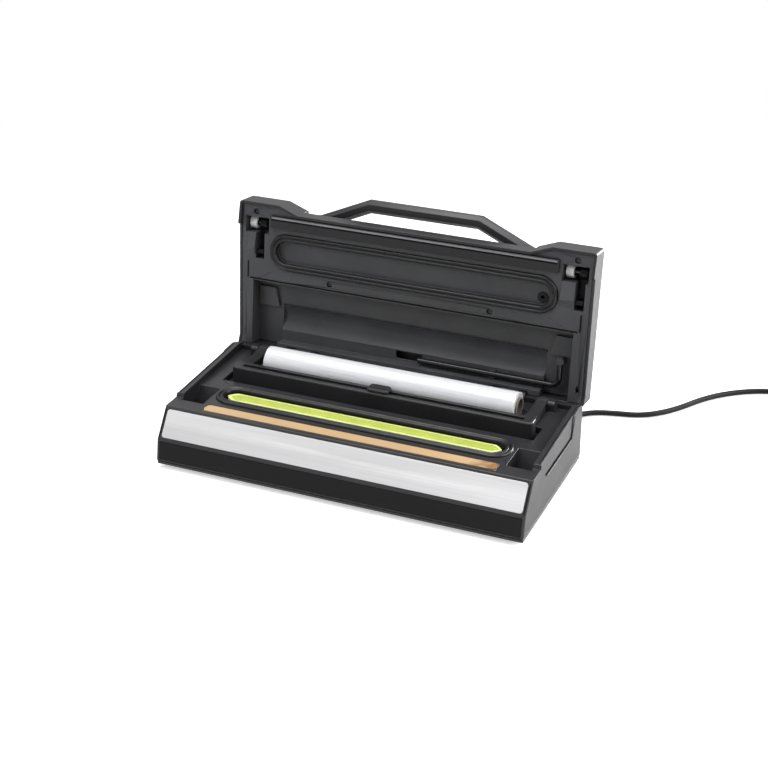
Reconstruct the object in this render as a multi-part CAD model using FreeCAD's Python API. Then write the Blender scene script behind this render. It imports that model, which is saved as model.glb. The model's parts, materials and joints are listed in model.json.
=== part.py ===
import FreeCAD, Part
import math
import os

# Vacuum sealer with a hinged lid, a loaded film roll and a sliding film cutter.
# Millimetres. X runs to the right, Y to the back and Z up. Pieces are drawn about the middle of
# the base, with the lid closed, and the lid is then swung open. The finished pieces are moved so
# that the origin lies under the middle of the open sealer, on the surface that the feet stand on.

V = FreeCAD.Vector

# Place of the finished sealer
FRAME_Y = 33.2

# Base housing
BASE_WIDTH = 395.0
HALF = BASE_WIDTH / 2
BASE_FRONT = -90.5
BASE_REAR = 91.0
FOOT_HEIGHT = 5.0
FOOT_RADIUS = 10.0
FOOT_X = 165.0
FOOT_FRONT_Y = -68.0
FOOT_REAR_Y = 72.0
FLOOR_PLATE = 3.0
PARTING_GAP = 1.0
WALL = 3.0
SKIN = 2.5
FRONT_TOP_Y = -86.6
FRONT_TOP_Z = 31.0
BEVEL_TOP_Y = -66.0
DECK_Z = 60.0
STEP_Y = -43.0
RIM_STEP_Z = 64.2
RIM_REAR_Y = 80.0
RIM_REAR_Z = 69.0
RIM_END_Z = 65.4
RIM_WIDTH = 8.5
EDGE_ROUND = 1.6

# Front trim
TRIM_THICK = 1.2
TRIM_MARGIN = 4.0
TRIM_CORNER = 3.0
FASCIA_THICK = 1.5
FASCIA_MARGIN = 3.0

# Side grip recess
GRIP_DEPTH = 1.2
GROOVE_DEPTH = 3.0
GROOVE_WIDTH = 2.6
GRIP_FRONT_Y = -25.0
GRIP_REAR_Y = 57.0
GRIP_LOW_Z = 43.0

# Vacuum chamber and its seals
CHAMBER_Y = -20.0
CHAMBER_HALF = 12.0
SEAL_MARGIN = 36.5
SEAL_WIDTH = 8.0
CHAMBER_REACH = HALF - SEAL_MARGIN - SEAL_WIDTH
SEAL_SEAT = 2.0
BASE_SEAL_PROUD = 2.4
LID_SEAL_PROUD = 3.0
BASE_CHAMBER_DEPTH = 9.0
LID_CHAMBER_DEPTH = 5.0
TRAY_HALF = 8.0
TRAY_END_GAP = 3.0
TRAY_REACH = CHAMBER_REACH - TRAY_END_GAP
TRAY_TIP = 8.5
TRAY_FULLNESS = 0.62
TRAY_WALL = 1.6
TRAY_BELOW_DECK = 0.4

# Heat seal bar
HEATER_MARGIN = 39.5
HEATER_REACH = HALF - HEATER_MARGIN
HEATER_GAP = 0.3
HEATER_FRONT = -62.0
HEATER_REAR = -48.0
HEATER_DEPTH = 6.0
WIRE_WIDTH = 3.0
WIRE_THICK = 0.4
TAPE_WIDTH = 12.4
TAPE_THICK = 0.3
TAPE_INSET = 1.0
STRIP_OVERLAP = 2.0
STRIP_REACH = HEATER_REACH + STRIP_OVERLAP
STRIP_WIDTH = 13.0
STRIP_OFFSET = 3.0
STRIP_SEAT = 3.0
STRIP_PROUD = 4.0

# Lock pockets and catch bars
POCKET_MARGIN = 8.5
POCKET_WIDTH = 25.0
POCKET_OUT = HALF - POCKET_MARGIN
POCKET_IN = POCKET_OUT - POCKET_WIDTH
POCKET_FRONT = -48.0
POCKET_REAR = -10.0
POCKET_FLOOR = 40.0
POCKET_SLOPE = 9.5
CATCH_Y = -43.0
CATCH_Z = 54.0
CATCH_RADIUS = 2.0

# Film roll
ROLL_HALF = 140.0
ROLL_Y = 56.0
ROLL_Z = 68.0
ROLL_RADIUS = 16.0
CORE_RADIUS = 11.0
CORE_BORE = 9.2
CORE_OVERHANG = 2.0
ROLL_CLEARANCE = 0.4
BAY_END_GAP = 6.0
BAY_HALF = ROLL_HALF + BAY_END_GAP

# Film cutter
ARM_GAP = 6.0
ARM_THICK = 12.0
ARM_IN = BAY_HALF + ARM_GAP
RAIL_END = 3.0
RAIL_HALF = ARM_IN + ARM_THICK + RAIL_END
RAIL_FRONT = 19.5
RAIL_WIDTH = 16.0
RAIL_BOTTOM = 53.5
RAIL_TOP = 72.5
RAIL_CORNER = 5.0
TROUGH_FLOOR = 53.0
TROUGH_FRONT = 10.0
TROUGH_REAR = 38.0
TROUGH_END_GAP = 5.0
TROUGH_HALF = RAIL_HALF + TROUGH_END_GAP
RAIL_SLOT = 5.0
RAIL_SLOT_DEPTH = 12.0
RAIL_SLOT_INSET = 11.0
RAIL_SLOT_HALF = RAIL_HALF - RAIL_SLOT_INSET
CUTTER_PIVOT_Y = 80.0
CUTTER_PIVOT_Z = 66.0
CUTTER_PIN_RADIUS = 2.5
CUTTER_PIN_LENGTH = 7.0
PIVOT_EYE = 5.0
POST_HALF = 6.0
POST_ROUND = 4.0
RUNNING_CLEARANCE = 0.06
SLIDE_CLEARANCE = 0.4
KNOB_LENGTH = 24.0
KNOB_HEIGHT = 3.6
KNOB_ROUND = 4.0
KEEL_INSET = 3.0
TOP_EDGE = 1.2
ARM_STEP = 2.0
ARM_SAG = 3.2
BLADE_THICK = 0.6
BLADE_TOP_HALF = 9.0
BLADE_LOW_HALF = 5.0

# Lid
LID_PLANE = 66.0
LID_THICK = 27.0
LID_REAR = 91.4
LID_LENGTH = 162.0
LID_OPEN_DEG = 97.2
LID_SKIN = 3.0
LID_RIM_GAP = 0.8
CORNER_WIDTH = 46.5
CORNER_SLANT = 22.0
CORNER_IN = HALF - CORNER_WIDTH
CORNER_TOE = CORNER_IN - CORNER_SLANT
MIDDLE_SETBACK = 8.0
WEDGE_PROUD = 4.0
WEDGE_RIDGE_Y = -19.2
WEDGE_REAR_Y = -11.2
LIP_DROP = 1.4
STEP_LEAD = 3.0
STEP_CLEARANCE = 0.8
FRONT_SLOPE_START = 22.0
FRONT_SLOPE_DROP = 12.0
LID_ROUND = 3.0
PLATE_GAP = 0.4
SHELF_FRONT = 15.5
SHELF_REAR = 42.0
SHELF_ROOF = 82.5
SHELF_SIDE = 16.0
SHELF_HALF = ARM_IN + ARM_THICK + SHELF_SIDE
ROLL_COVER_RADIUS = 18.0
ROLL_COVER_END = 10.0
ROLL_COVER_HALF = ROLL_HALF + ROLL_COVER_END
HOSE_CHANNEL_ROOF = 79.0
HOSE_CHANNEL_REAR = 82.0
PAD_IN_GAP = 4.0
PAD_OUT_GAP = 1.0
PAD_IN = ROLL_COVER_HALF + PAD_IN_GAP
PAD_OUT = SHELF_HALF - PAD_OUT_GAP
PAD_PROUD = 3.5
PAD_FRONT = 24.4
PAD_REAR = 45.4
PAD_TAPER = 5.0

# Lid hinge
HINGE_Y = 90.0
HINGE_Z = 64.0
HINGE_X = 118.0
KNUCKLE_HALF = 10.0
EAR_LENGTH = 8.0
KNUCKLE_RADIUS = 4.6
HINGE_PIN_RADIUS = 2.0
EAR_GAP = 0.4
HINGE_RELIEF = 1.0

# Handle and lock shaft
PIVOT_Y = -45.5
PIVOT_Z = 81.0
SHAFT_RADIUS = 4.0
SHAFT_MARGIN = 5.5
SHAFT_HALF = HALF - SHAFT_MARGIN
HANDLE_LOW = 96.0
HANDLE_DEEP = 14.0
HANDLE_BAND = 14.0
HANDLE_TOP_Y = -81.5
HANDLE_TOP_HALF = 63.0
HANDLE_SHOULDER_Y = -57.0
HANDLE_SHOULDER = 119.0
HANDLE_FOOT_Y = -50.0
HANDLE_FOOT = 139.0
CRANK_HALF = 6.0
CRANK_X = 130.0
HUB_WALL = 3.0
BAIL_CHAMFER = 4.0
SLOT_IN = 92.0
SLOT_OUT = 144.0
SLOT_FRONT = -55.5
SLOT_REAR = -15.5
SLOT_ROUND = 4.0
HOOK_REST_DEG = -4.0
HOOK_INNER = 29.6
HOOK_OUTER = 34.0
HOOK_TOE_DEG = 22.0
HOOK_WIDTH = 7.0
HOOK_HUB = 8.0
HOOK_MARGIN_LEFT = 24.5
HOOK_MARGIN_RIGHT = 14.5
HOOK_X = (HOOK_MARGIN_LEFT - HALF, HALF - HOOK_MARGIN_RIGHT)
HOOK_THICK = 8.0
HOOK_SIDE_GAP = 1.0
BUSH_RADIUS = 7.5
BUSH_THICK = 8.0
BUSH_MARGIN_LEFT = 12.0
BUSH_MARGIN_RIGHT = 29.0
BUSH_X = (BUSH_MARGIN_LEFT - HALF, HALF - BUSH_MARGIN_RIGHT)
BUSH_GAP = 1.0
LID_POCKET_MARGIN = 7.0
LID_POCKET_WIDTH = 27.5
LID_POCKET_OUT = HALF - LID_POCKET_MARGIN
LID_POCKET_IN = LID_POCKET_OUT - LID_POCKET_WIDTH
LID_POCKET_FRONT = -54.5
LID_POCKET_REAR = -9.0

# Controls on the lid
PANEL_HALF = 62.0
PANEL_FRONT = -25.0
PANEL_REAR = 8.0
PANEL_THICK = 1.2
BUTTON_X = (-45.0, -15.0, 15.0, 45.0)
BUTTON_Y = -4.0
BUTTON_HALF = 9.0
BUTTON_DEEP = 5.0
BUTTON_PROUD = 1.0
BUTTON_HEIGHT = 4.0
BUTTON_GAP = 0.4
BUTTON_CORNER = 3.0
BUTTON_EDGE = 0.6
PANEL_CORNER = 4.0
LAMP_RADIUS = 1.5
LAMP_Y = -17.0

# Vacuum hose along the lid's hinge side
HOSE_RADIUS = 3.0
HOSE_Y = 76.5
HOSE_Z = 75.5
HOSE_START_X = 12.0
HOSE_MARGIN = 39.5
HOSE_END_X = HALF - HOSE_MARGIN
HOSE_BEND = 9.0
HOSE_REACH_Y = 54.0
HOSE_CLIP_X = 95.0
HOSE_CLIP_WIDTH = 6.0
HOSE_SLEEVE = 1.2
HOSE_NOTCH_HALF = 15.0
PORT_INSET = 9.0
PORT_X = CHAMBER_REACH - PORT_INSET
PORT_OFFSET = 4.0
PORT_RADIUS = 5.5
PORT_THICK = 1.2

# Fasteners
LID_SCREW_SETBACK = 10.4
LID_SCREW_CORNER = 19.5
LID_SCREW_MIDDLE_X = 90.0
LID_SCREW_MIDDLE_Y = 7.1
LID_SCREW_REAR = 16.7
LID_SCREW_SIDE = 10.5
SCREW_HEAD = 2.8
SCREW_CHAMFER = 0.8
SCREW_HEAD_HEIGHT = 1.6
SCREW_WELL = 3.2
SCREW_WELL_DEPTH = 3.5
BOSS_RADIUS = 5.0

# Power cord
CORD_RADIUS = 3.0
GLAND_X = 150.0
GLAND_Z = 14.0
GLAND_LENGTH = 28.0
GLAND_RADIUS = 6.5
CORD_ROUTE = [(150.0, 119.0, 14.0), (150.0, 137.0, 14.0), (152.5, 160.0, 7.0), (162.0, 182.0, 3.2),
              (180.0, 199.0, 3.2), (204.0, 206.0, 3.2), (228.0, 211.0, 3.2), (248.0, 226.0, 3.2),
              (265.0, 247.5, 3.2), (281.0, 276.0, 3.2), (302.0, 300.0, 3.2), (330.0, 320.0, 3.2),
              (362.0, 330.0, 3.2), (381.0, 332.0, 3.2)]
COIL_X = 398.0
COIL_Y = 296.0
COIL_MEAN = 33.0
COIL_LOW = 0.2
COIL_HEIGHT = 12.4
PLUG_WIDTH = 27.0
PLUG_SHOULDER = 7.0
PLUG_ROUND = 2.4
PLUG_LENGTH = 34.0
PLUG_THICK = 13.0
PLUG_NECK = 18.0
PIN_RADIUS = 2.0
PIN_LENGTH = 19.0
PIN_TIP = 1.0
PIN_SPACING = 18.6

# Works inside the base
PUMP_X = -70.0
PUMP_Y = -25.0
PUMP_Z = 27.0
MOTOR_RADIUS = 14.0
MOTOR_LENGTH = 46.0
MOTOR_COLLAR = 3.0
PUMP_HEAD = 30.0
PUMP_HEAD_RADIUS = 17.0
PUMP_FLANGE = 4.0
PUMP_FLANGE_LIP = 1.5
SPOUT_LENGTH = 10.0
SPOUT_OFFSET = 6.0
BRACKET_THICK = 2.0
BRACKET_HALF = 24.0
BRACKET_INSET = 5.0
SADDLE_HALF = 12.0
SADDLE_LENGTH = 10.0
SADDLE_DROP = 4.0
VENT_X = -2.0
VENT_COUNT = 9
VENT_PITCH = 7.0
VENT_WIDTH = 3.0
VENT_LENGTH = 44.0
BOARD_X0 = 40.0
BOARD_X1 = 145.0
BOARD_Y0 = -55.0
BOARD_Y1 = 15.0
BOARD_Z = 16.0
BOARD_THICK = 1.6
POST_RADIUS = 3.5
TRANSFORMER = (38.0, 34.0, 26.0)
TRANSFORMER_INSET = 12.0
YOKE_STEP = 3.0
LIMB_WIDTH = 8.0
WINDING_ROUND = 5.0
SWITCH_SIZE = (8.0, 20.0, 10.0)


def box(x0, x1, y0, y1, z0, z1):
    return Part.makeBox(x1 - x0, y1 - y0, z1 - z0, V(x0, y0, z0))


def prism_x(points, x0, x1):
    """Profile of (y, z) points drawn along X."""
    wire = Part.makePolygon([V(x0, y, z) for y, z in points + points[:1]])
    return Part.Face(wire).extrude(V(x1 - x0, 0, 0))


def prism_z(points, z0, z1):
    """Plan of (x, y) points drawn along Z."""
    wire = Part.makePolygon([V(x, y, z0) for x, y in points + points[:1]])
    return Part.Face(wire).extrude(V(0, 0, z1 - z0))


def rod_x(x0, x1, y, z, radius):
    return Part.makeCylinder(radius, x1 - x0, V(x0, y, z), V(1, 0, 0))


def rod_y(x, y0, y1, z, radius):
    return Part.makeCylinder(radius, y1 - y0, V(x, y0, z), V(0, 1, 0))


def rod_z(x, y, z0, z1, radius):
    return Part.makeCylinder(radius, z1 - z0, V(x, y, z0), V(0, 0, 1))


def stadium(reach, half, y, z0, z1):
    """Long round-ended slab, centred on x = 0."""
    end = reach - half
    right = Part.Arc(V(end, y - half, z0), V(reach, y, z0), V(end, y + half, z0))
    left = Part.Arc(V(-end, y + half, z0), V(-reach, y, z0), V(-end, y - half, z0))
    top = Part.LineSegment(V(end, y + half, z0), V(-end, y + half, z0))
    low = Part.LineSegment(V(-end, y - half, z0), V(end, y - half, z0))
    wire = Part.Wire([right.toShape(), top.toShape(), left.toShape(), low.toShape()])
    return Part.Face(wire).extrude(V(0, 0, z1 - z0))


def rounded_box(x0, x1, y0, y1, z0, z1, radius):
    """Box with its four upright edges rounded."""
    body = box(x0, x1, y0, y1, z0, z1)
    upright = [e for e in body.Edges if abs(e.tangentAt(e.FirstParameter).z) > 0.9]
    return body.makeFillet(radius, upright)


def mirrored(shape):
    return shape.mirror(V(0, 0, 0), V(1, 0, 0))


def both_sides(shape):
    return [shape, mirrored(shape)]


def joined(shapes):
    return shapes[0].fuse(shapes[1:]).removeSplitter()


def less(body, tools):
    return body.cut(tools).removeSplitter()


def turned(shape, y, z, degrees):
    """Copy turned about an axis along X through (y, z)."""
    copy = shape.copy()
    copy.rotate(V(0, y, z), V(1, 0, 0), degrees)
    return copy


def opened(shape):
    return turned(shape, HINGE_Y, HINGE_Z, -LID_OPEN_DEG)


def save(name, shape):
    """Write one piece; a group of separate solids is one compound."""
    if isinstance(shape, list):
        shape = Part.makeCompound(shape)
    for solid in shape.Solids:
        if not solid.isValid():
            print("not valid:", name)
    shape = shape.copy()
    shape.translate(V(0, -FRAME_Y, 0))
    shape.exportStep(os.path.join("parts", name + ".step"))
    print(name, len(shape.Solids), "solids", round(shape.Volume / 1000, 2), "cm3")


def save_lid(name, shape):
    if isinstance(shape, list):
        shape = Part.makeCompound(shape)
    save(name, opened(shape))


HOUSING_BOTTOM = FOOT_HEIGHT + FLOOR_PLATE + PARTING_GAP
RIM_IN = HALF - RIM_WIDTH
LID_TOP = LID_PLANE + LID_THICK
LID_FRONT = LID_REAR - LID_LENGTH
LID_MIDDLE = LID_FRONT + MIDDLE_SETBACK
COVER_ROOF = LID_TOP - LID_SKIN
SEAL_HALF = CHAMBER_HALF + SEAL_WIDTH
SEAL_REACH = CHAMBER_REACH + SEAL_WIDTH
ABOVE = 120.0


def inset(points, distance):
    """Closed outline moved inwards by a distance; points run clockwise as drawn here."""
    moved = []
    count = len(points)
    for i in range(count):
        before, here, after = points[i - 1], points[i], points[(i + 1) % count]
        moved.append(corner_offset(before, here, after, distance))
    return moved


def corner_offset(before, here, after, distance):
    """Corner of two lines that are both moved to their right by a distance."""
    u = unit(before, here)
    w = unit(here, after)
    turn = u[0] * w[1] - u[1] * w[0]
    if abs(turn) < 1e-9:
        return here[0] + u[1] * distance, here[1] - u[0] * distance
    along = distance * (1 - u[0] * w[0] - u[1] * w[1]) / turn
    return (here[0] + u[1] * distance + u[0] * along,
            here[1] - u[0] * distance + u[1] * along)


def unit(start, end):
    length = math.hypot(end[0] - start[0], end[1] - start[1])
    return (end[0] - start[0]) / length, (end[1] - start[1]) / length


def on_slope(shape, low, high):
    """Shape drawn flat in X and Y, laid on the sloping plane from low to high, given as (y, z)."""
    placed = shape.copy()
    angle = math.degrees(math.atan2(high[1] - low[1], high[0] - low[0]))
    placed.rotate(V(0, 0, 0), V(1, 0, 0), angle)
    placed.translate(V(0, low[0], low[1]))
    return placed


# Base: moulded housing

FRONT_LOW = (BASE_FRONT, HOUSING_BOTTOM)
FRONT_HIGH = (FRONT_TOP_Y, FRONT_TOP_Z)
BEVEL_HIGH = (BEVEL_TOP_Y, DECK_Z)


def rim_line(lift):
    """Top edge of the side walls, from the step to the back, as (y, z)."""
    return [(STEP_Y + 1, RIM_STEP_Z + lift), (RIM_REAR_Y, RIM_REAR_Z + lift),
            (BASE_REAR, RIM_END_Z + lift)]


def housing_block():
    outline = [FRONT_LOW, FRONT_HIGH, BEVEL_HIGH, (STEP_Y - 1, DECK_Z)]
    outline += rim_line(0.0) + [(BASE_REAR, HOUSING_BOTTOM)]
    block = prism_x(outline, -HALF, HALF)
    rounded = []
    for edge in block.Edges:
        middle = edge.valueAt((edge.FirstParameter + edge.LastParameter) / 2)
        on_front = middle.y < BEVEL_TOP_Y + 0.1 and middle.z > HOUSING_BOTTOM + 0.1
        upright_back = middle.y > BASE_REAR - 0.1 and abs(middle.x) > HALF - 0.1
        if on_front or upright_back:
            rounded.append(edge)
    return block.makeFillet(EDGE_ROUND, rounded)


def plate_on_slope(low, high, margin_x, margin_end, thick, corner, grow):
    length = math.hypot(high[0] - low[0], high[1] - low[1])
    half = HALF - margin_x + grow
    flat = rounded_box(-half, half, margin_end - grow, length - margin_end + grow,
                       -thick, grow * ABOVE, corner)
    return on_slope(flat, low, high)


def trim_shape(grow):
    return plate_on_slope(FRONT_HIGH, BEVEL_HIGH, TRIM_MARGIN, TRIM_CORNER, TRIM_THICK,
                          TRIM_CORNER, grow)


def fascia_shape(grow):
    return plate_on_slope(FRONT_LOW, FRONT_HIGH, FASCIA_MARGIN, FASCIA_MARGIN / 2, FASCIA_THICK,
                          FASCIA_MARGIN / 2, grow)


def pocket_space(grow):
    """Lock pocket with a sloping back, on the right."""
    low = POCKET_FLOOR - grow
    back = [(POCKET_FRONT - grow, ABOVE), (POCKET_FRONT - grow, low),
            (POCKET_REAR - POCKET_SLOPE + grow, low), (POCKET_REAR + grow, DECK_Z - grow),
            (POCKET_REAR + grow, ABOVE)]
    return prism_x(back, POCKET_IN - grow, POCKET_OUT + grow)


def trough_space(grow):
    """Trough that the cutter rail rests in, with a sloping front."""
    fall = DECK_Z - TROUGH_FLOOR
    outline = [(TROUGH_FRONT - grow, ABOVE), (TROUGH_FRONT - grow, DECK_Z),
               (TROUGH_FRONT + fall - grow, TROUGH_FLOOR - grow),
               (TROUGH_REAR + grow, TROUGH_FLOOR - grow), (TROUGH_REAR + grow, ABOVE)]
    return prism_x(outline, -TROUGH_HALF - grow, TROUGH_HALF + grow)


def bay_space(grow):
    radius = ROLL_RADIUS + ROLL_CLEARANCE + grow
    half = BAY_HALF + grow
    return rod_x(-half, half, ROLL_Y, ROLL_Z, radius)


def heater_space(grow):
    gap = HEATER_GAP + grow
    return box(-HEATER_REACH - gap, HEATER_REACH + gap, HEATER_FRONT - gap, HEATER_REAR + gap,
               DECK_Z - HEATER_DEPTH - grow, ABOVE)


def chamber_space(grow):
    return stadium(CHAMBER_REACH + grow, CHAMBER_HALF + grow, CHAMBER_Y,
                   DECK_Z - BASE_CHAMBER_DEPTH - grow, ABOVE)


def knuckle_slot(grow):
    half = KNUCKLE_HALF + EAR_GAP + grow
    low = HINGE_Z - KNUCKLE_RADIUS - HINGE_RELIEF - grow
    return box(HINGE_X - half, HINGE_X + half, HINGE_Y - KNUCKLE_RADIUS - HINGE_RELIEF - grow,
               BASE_REAR + 2 * KNUCKLE_RADIUS, low, ABOVE)


def base_spaces(grow):
    spaces = [trough_space(grow), bay_space(grow), heater_space(grow), chamber_space(grow)]
    spaces += both_sides(pocket_space(grow)) + both_sides(knuckle_slot(grow))
    return spaces


def grip_recess():
    """Inset side panel and the dark groove along its lower and rear edges, on the right."""
    rear_top = GRIP_REAR_Y + RIM_WIDTH
    panel = [(STEP_Y + 1, DECK_Z), (GRIP_FRONT_Y, GRIP_LOW_Z), (GRIP_REAR_Y, GRIP_LOW_Z),
             (rear_top, ABOVE), (STEP_Y + 1, ABOVE)]
    w = GROOVE_WIDTH
    groove = [(GRIP_FRONT_Y, GRIP_LOW_Z), (GRIP_REAR_Y, GRIP_LOW_Z), (rear_top, RIM_REAR_Z - WALL),
              (rear_top - w, RIM_REAR_Z - WALL), (GRIP_REAR_Y - w / 2, GRIP_LOW_Z + w),
              (GRIP_FRONT_Y - w / 2, GRIP_LOW_Z + w)]
    return joined([prism_x(panel, HALF - GRIP_DEPTH, HALF + 1),
                   prism_x(groove, HALF - GROOVE_DEPTH, HALF + 1)])


def hinge_rod(radius, spare):
    """Round bar along the hinge axis on the right, as long as the two ears and the knuckle."""
    reach = KNUCKLE_HALF + EAR_GAP + EAR_LENGTH + spare
    return rod_x(HINGE_X - reach, HINGE_X + reach, HINGE_Y, HINGE_Z, radius)


def hinge_ears():
    """Two ears on the right that carry the hinge pin, one each side of the lid's knuckle."""
    start = KNUCKLE_HALF + EAR_GAP
    ears = []
    for x0 in (HINGE_X - start - EAR_LENGTH, HINGE_X + start):
        ears.append(rod_x(x0, x0 + EAR_LENGTH, HINGE_Y, HINGE_Z, KNUCKLE_RADIUS))
        ears.append(box(x0, x0 + EAR_LENGTH, HINGE_Y - KNUCKLE_RADIUS, BASE_REAR, DECK_Z - WALL, HINGE_Z))
    return joined(ears)


def pivot_post():
    """Post on the right that carries the cutter frame's pivot pin."""
    x0 = ARM_IN + ARM_THICK + SLIDE_CLEARANCE
    top = CUTTER_PIVOT_Z + PIVOT_EYE
    post = box(x0, x0 + CUTTER_PIN_LENGTH + 1, CUTTER_PIVOT_Y - POST_HALF, CUTTER_PIVOT_Y + POST_HALF,
               DECK_Z - WALL, top)
    crown = [e for e in post.Edges if e.CenterOfMass.z > top - 0.1
             and abs(e.CenterOfMass.y - CUTTER_PIVOT_Y) > POST_HALF - 0.1]
    return post.makeFillet(POST_ROUND, crown)


def housing():
    block = housing_block()
    inner_outline = [FRONT_LOW, FRONT_HIGH, BEVEL_HIGH, (BASE_REAR, DECK_Z), (BASE_REAR, HOUSING_BOTTOM)]
    hollow = prism_x(inset(inner_outline, WALL), -HALF + WALL, HALF - WALL)
    under = inset(inner_outline, WALL)
    opening = box(-HALF + WALL, HALF - WALL, under[0][0], under[-1][0], 0, under[0][1])
    hollow = less(hollow.fuse(opening), base_spaces(SKIN))
    deck = box(-RIM_IN, RIM_IN, STEP_Y - 1, BASE_REAR - WALL - SKIN, DECK_Z, ABOVE)
    back = box(-RIM_IN, RIM_IN, RIM_REAR_Y, BASE_REAR + 1, LID_PLANE - LID_RIM_GAP, ABOVE)
    seal_seat = stadium(SEAL_REACH, SEAL_HALF, CHAMBER_Y, DECK_Z - SEAL_SEAT, ABOVE)
    body = less(block, [deck, back, hollow, seal_seat, trim_shape(0.1), fascia_shape(0.1)])
    body = less(body, base_spaces(0.0) + both_sides(grip_recess()))
    body = joined([body] + both_sides(hinge_ears()) + both_sides(pivot_post()))
    slip = RUNNING_CLEARANCE
    bores = [hinge_rod(HINGE_PIN_RADIUS + slip / 2, 0.0),
             rod_x(ARM_IN, ARM_IN + ARM_THICK + CUTTER_PIN_LENGTH, CUTTER_PIVOT_Y, CUTTER_PIVOT_Z,
                   CUTTER_PIN_RADIUS + slip),
             rod_x(POCKET_IN - SKIN, POCKET_OUT + SKIN, CATCH_Y, CATCH_Z, CATCH_RADIUS + slip / 2)]
    outlet = rod_y(GLAND_X, BASE_REAR - 2 * WALL, BASE_REAR + WALL, GLAND_Z, CORD_RADIUS + 1)
    for bore in bores:
        body = body.cut(both_sides(bore))
    return less(body, [outlet])


# Base: floor plate, feet and trim

def floor_plate():
    edge = PARTING_GAP / 2
    top = FOOT_HEIGHT + FLOOR_PLATE
    plate = rounded_box(-HALF + edge, HALF - edge, BASE_FRONT + edge, BASE_REAR - edge,
                        FOOT_HEIGHT, top, EDGE_ROUND)
    lip = HALF - WALL - PARTING_GAP
    front = BASE_FRONT + WALL + PARTING_GAP
    rear = BASE_REAR - WALL - PARTING_GAP
    tongue = box(-lip, lip, front, rear, top, HOUSING_BOTTOM + WALL)
    hollow = box(-lip + SKIN, lip - SKIN, front + SKIN, rear - SKIN, top, ABOVE)
    ledge = box(-HALF + WALL / 2, HALF - WALL / 2, BASE_FRONT + WALL / 2, BASE_REAR - WALL / 2,
                top, HOUSING_BOTTOM)
    return less(joined([plate, ledge, tongue]), [hollow] + vents())


def vents():
    """Row of slots in the floor plate that let the works breathe."""
    first = VENT_X - (VENT_COUNT - 1) * VENT_PITCH / 2
    y0, y1 = PUMP_Y - VENT_LENGTH / 2, PUMP_Y + VENT_LENGTH / 2
    slots = []
    for i in range(VENT_COUNT):
        x0 = first + i * VENT_PITCH - VENT_WIDTH / 2
        slots.append(box(x0, x0 + VENT_WIDTH, y0, y1, 0, HOUSING_BOTTOM))
    return slots


def feet():
    group = []
    for x in (-FOOT_X, FOOT_X):
        for y in (FOOT_FRONT_Y, FOOT_REAR_Y):
            group.append(Part.makeCone(FOOT_RADIUS - 1, FOOT_RADIUS, FOOT_HEIGHT, V(x, y, 0), V(0, 0, 1)))
    return group


def base_screw_places():
    return [(sx * (FOOT_X - 3 * FOOT_RADIUS), y) for sx in (-1, 1) for y in (FOOT_FRONT_Y, FOOT_REAR_Y)]


def screw(x, y, seat):
    """Tapered head that looks down from its seat."""
    low = V(x, y, seat - SCREW_HEAD_HEIGHT)
    return Part.makeCone(SCREW_HEAD - SCREW_CHAMFER, SCREW_HEAD, SCREW_HEAD_HEIGHT, low, V(0, 0, 1))


# Base: seals, drip tray and heat seal bar

def seal_ring(z0, z1):
    ring = stadium(SEAL_REACH, SEAL_HALF, CHAMBER_Y, z0, z1)
    return less(ring, [stadium(CHAMBER_REACH, CHAMBER_HALF, CHAMBER_Y, z0 - 1, z1 + 1)])


def leaf(reach, half, y, z0, z1):
    """Long slab with curved ends that come to a point, centred on x = 0."""
    end = reach - TRAY_TIP
    bow = (reach + end) / 2
    swell = TRAY_FULLNESS * half
    edges = []
    for side in (1, -1):
        far = V(side * end, y - side * half, z0)
        turn = V(side * end, y + side * half, z0)
        tip = V(side * reach, y, z0)
        edges.append(Part.LineSegment(V(-side * end, y - side * half, z0), far))
        edges.append(Part.Arc(far, V(side * bow, y - side * swell, z0), tip))
        edges.append(Part.Arc(tip, V(side * bow, y + side * swell, z0), turn))
    wire = Part.Wire([edge.toShape() for edge in edges])
    return Part.Face(wire).extrude(V(0, 0, z1 - z0))


def drip_tray():
    floor_z = DECK_Z - BASE_CHAMBER_DEPTH
    top = DECK_Z - TRAY_BELOW_DECK
    tray = leaf(TRAY_REACH, TRAY_HALF, CHAMBER_Y, floor_z, top)
    inner = leaf(TRAY_REACH - 2 * TRAY_WALL, TRAY_HALF - TRAY_WALL, CHAMBER_Y, floor_z + TRAY_WALL, ABOVE)
    return less(tray, [inner])


HEATER_TOP = DECK_Z
HEATER_MIDDLE = (HEATER_FRONT + HEATER_REAR) / 2


def heater_bar():
    return box(-HEATER_REACH, HEATER_REACH, HEATER_FRONT, HEATER_REAR, DECK_Z - HEATER_DEPTH, HEATER_TOP)


def heating_wire():
    return box(-HEATER_REACH, HEATER_REACH, HEATER_MIDDLE - WIRE_WIDTH / 2, HEATER_MIDDLE + WIRE_WIDTH / 2,
               HEATER_TOP, HEATER_TOP + WIRE_THICK)


def release_tape():
    low = HEATER_TOP + WIRE_THICK
    half = TAPE_WIDTH / 2
    reach = HEATER_REACH - TAPE_INSET
    return box(-reach, reach, HEATER_MIDDLE - half, HEATER_MIDDLE + half, low, low + TAPE_THICK)


# Base: works under the deck

PLATE_TOP = FOOT_HEIGHT + FLOOR_PLATE


def pump_motor():
    shell = rod_x(PUMP_X - MOTOR_LENGTH, PUMP_X, PUMP_Y, PUMP_Z, MOTOR_RADIUS)
    start = PUMP_X - MOTOR_LENGTH
    collar = rod_x(start - MOTOR_COLLAR, start, PUMP_Y, PUMP_Z, MOTOR_RADIUS / 3)
    return joined([shell, collar])


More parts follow.
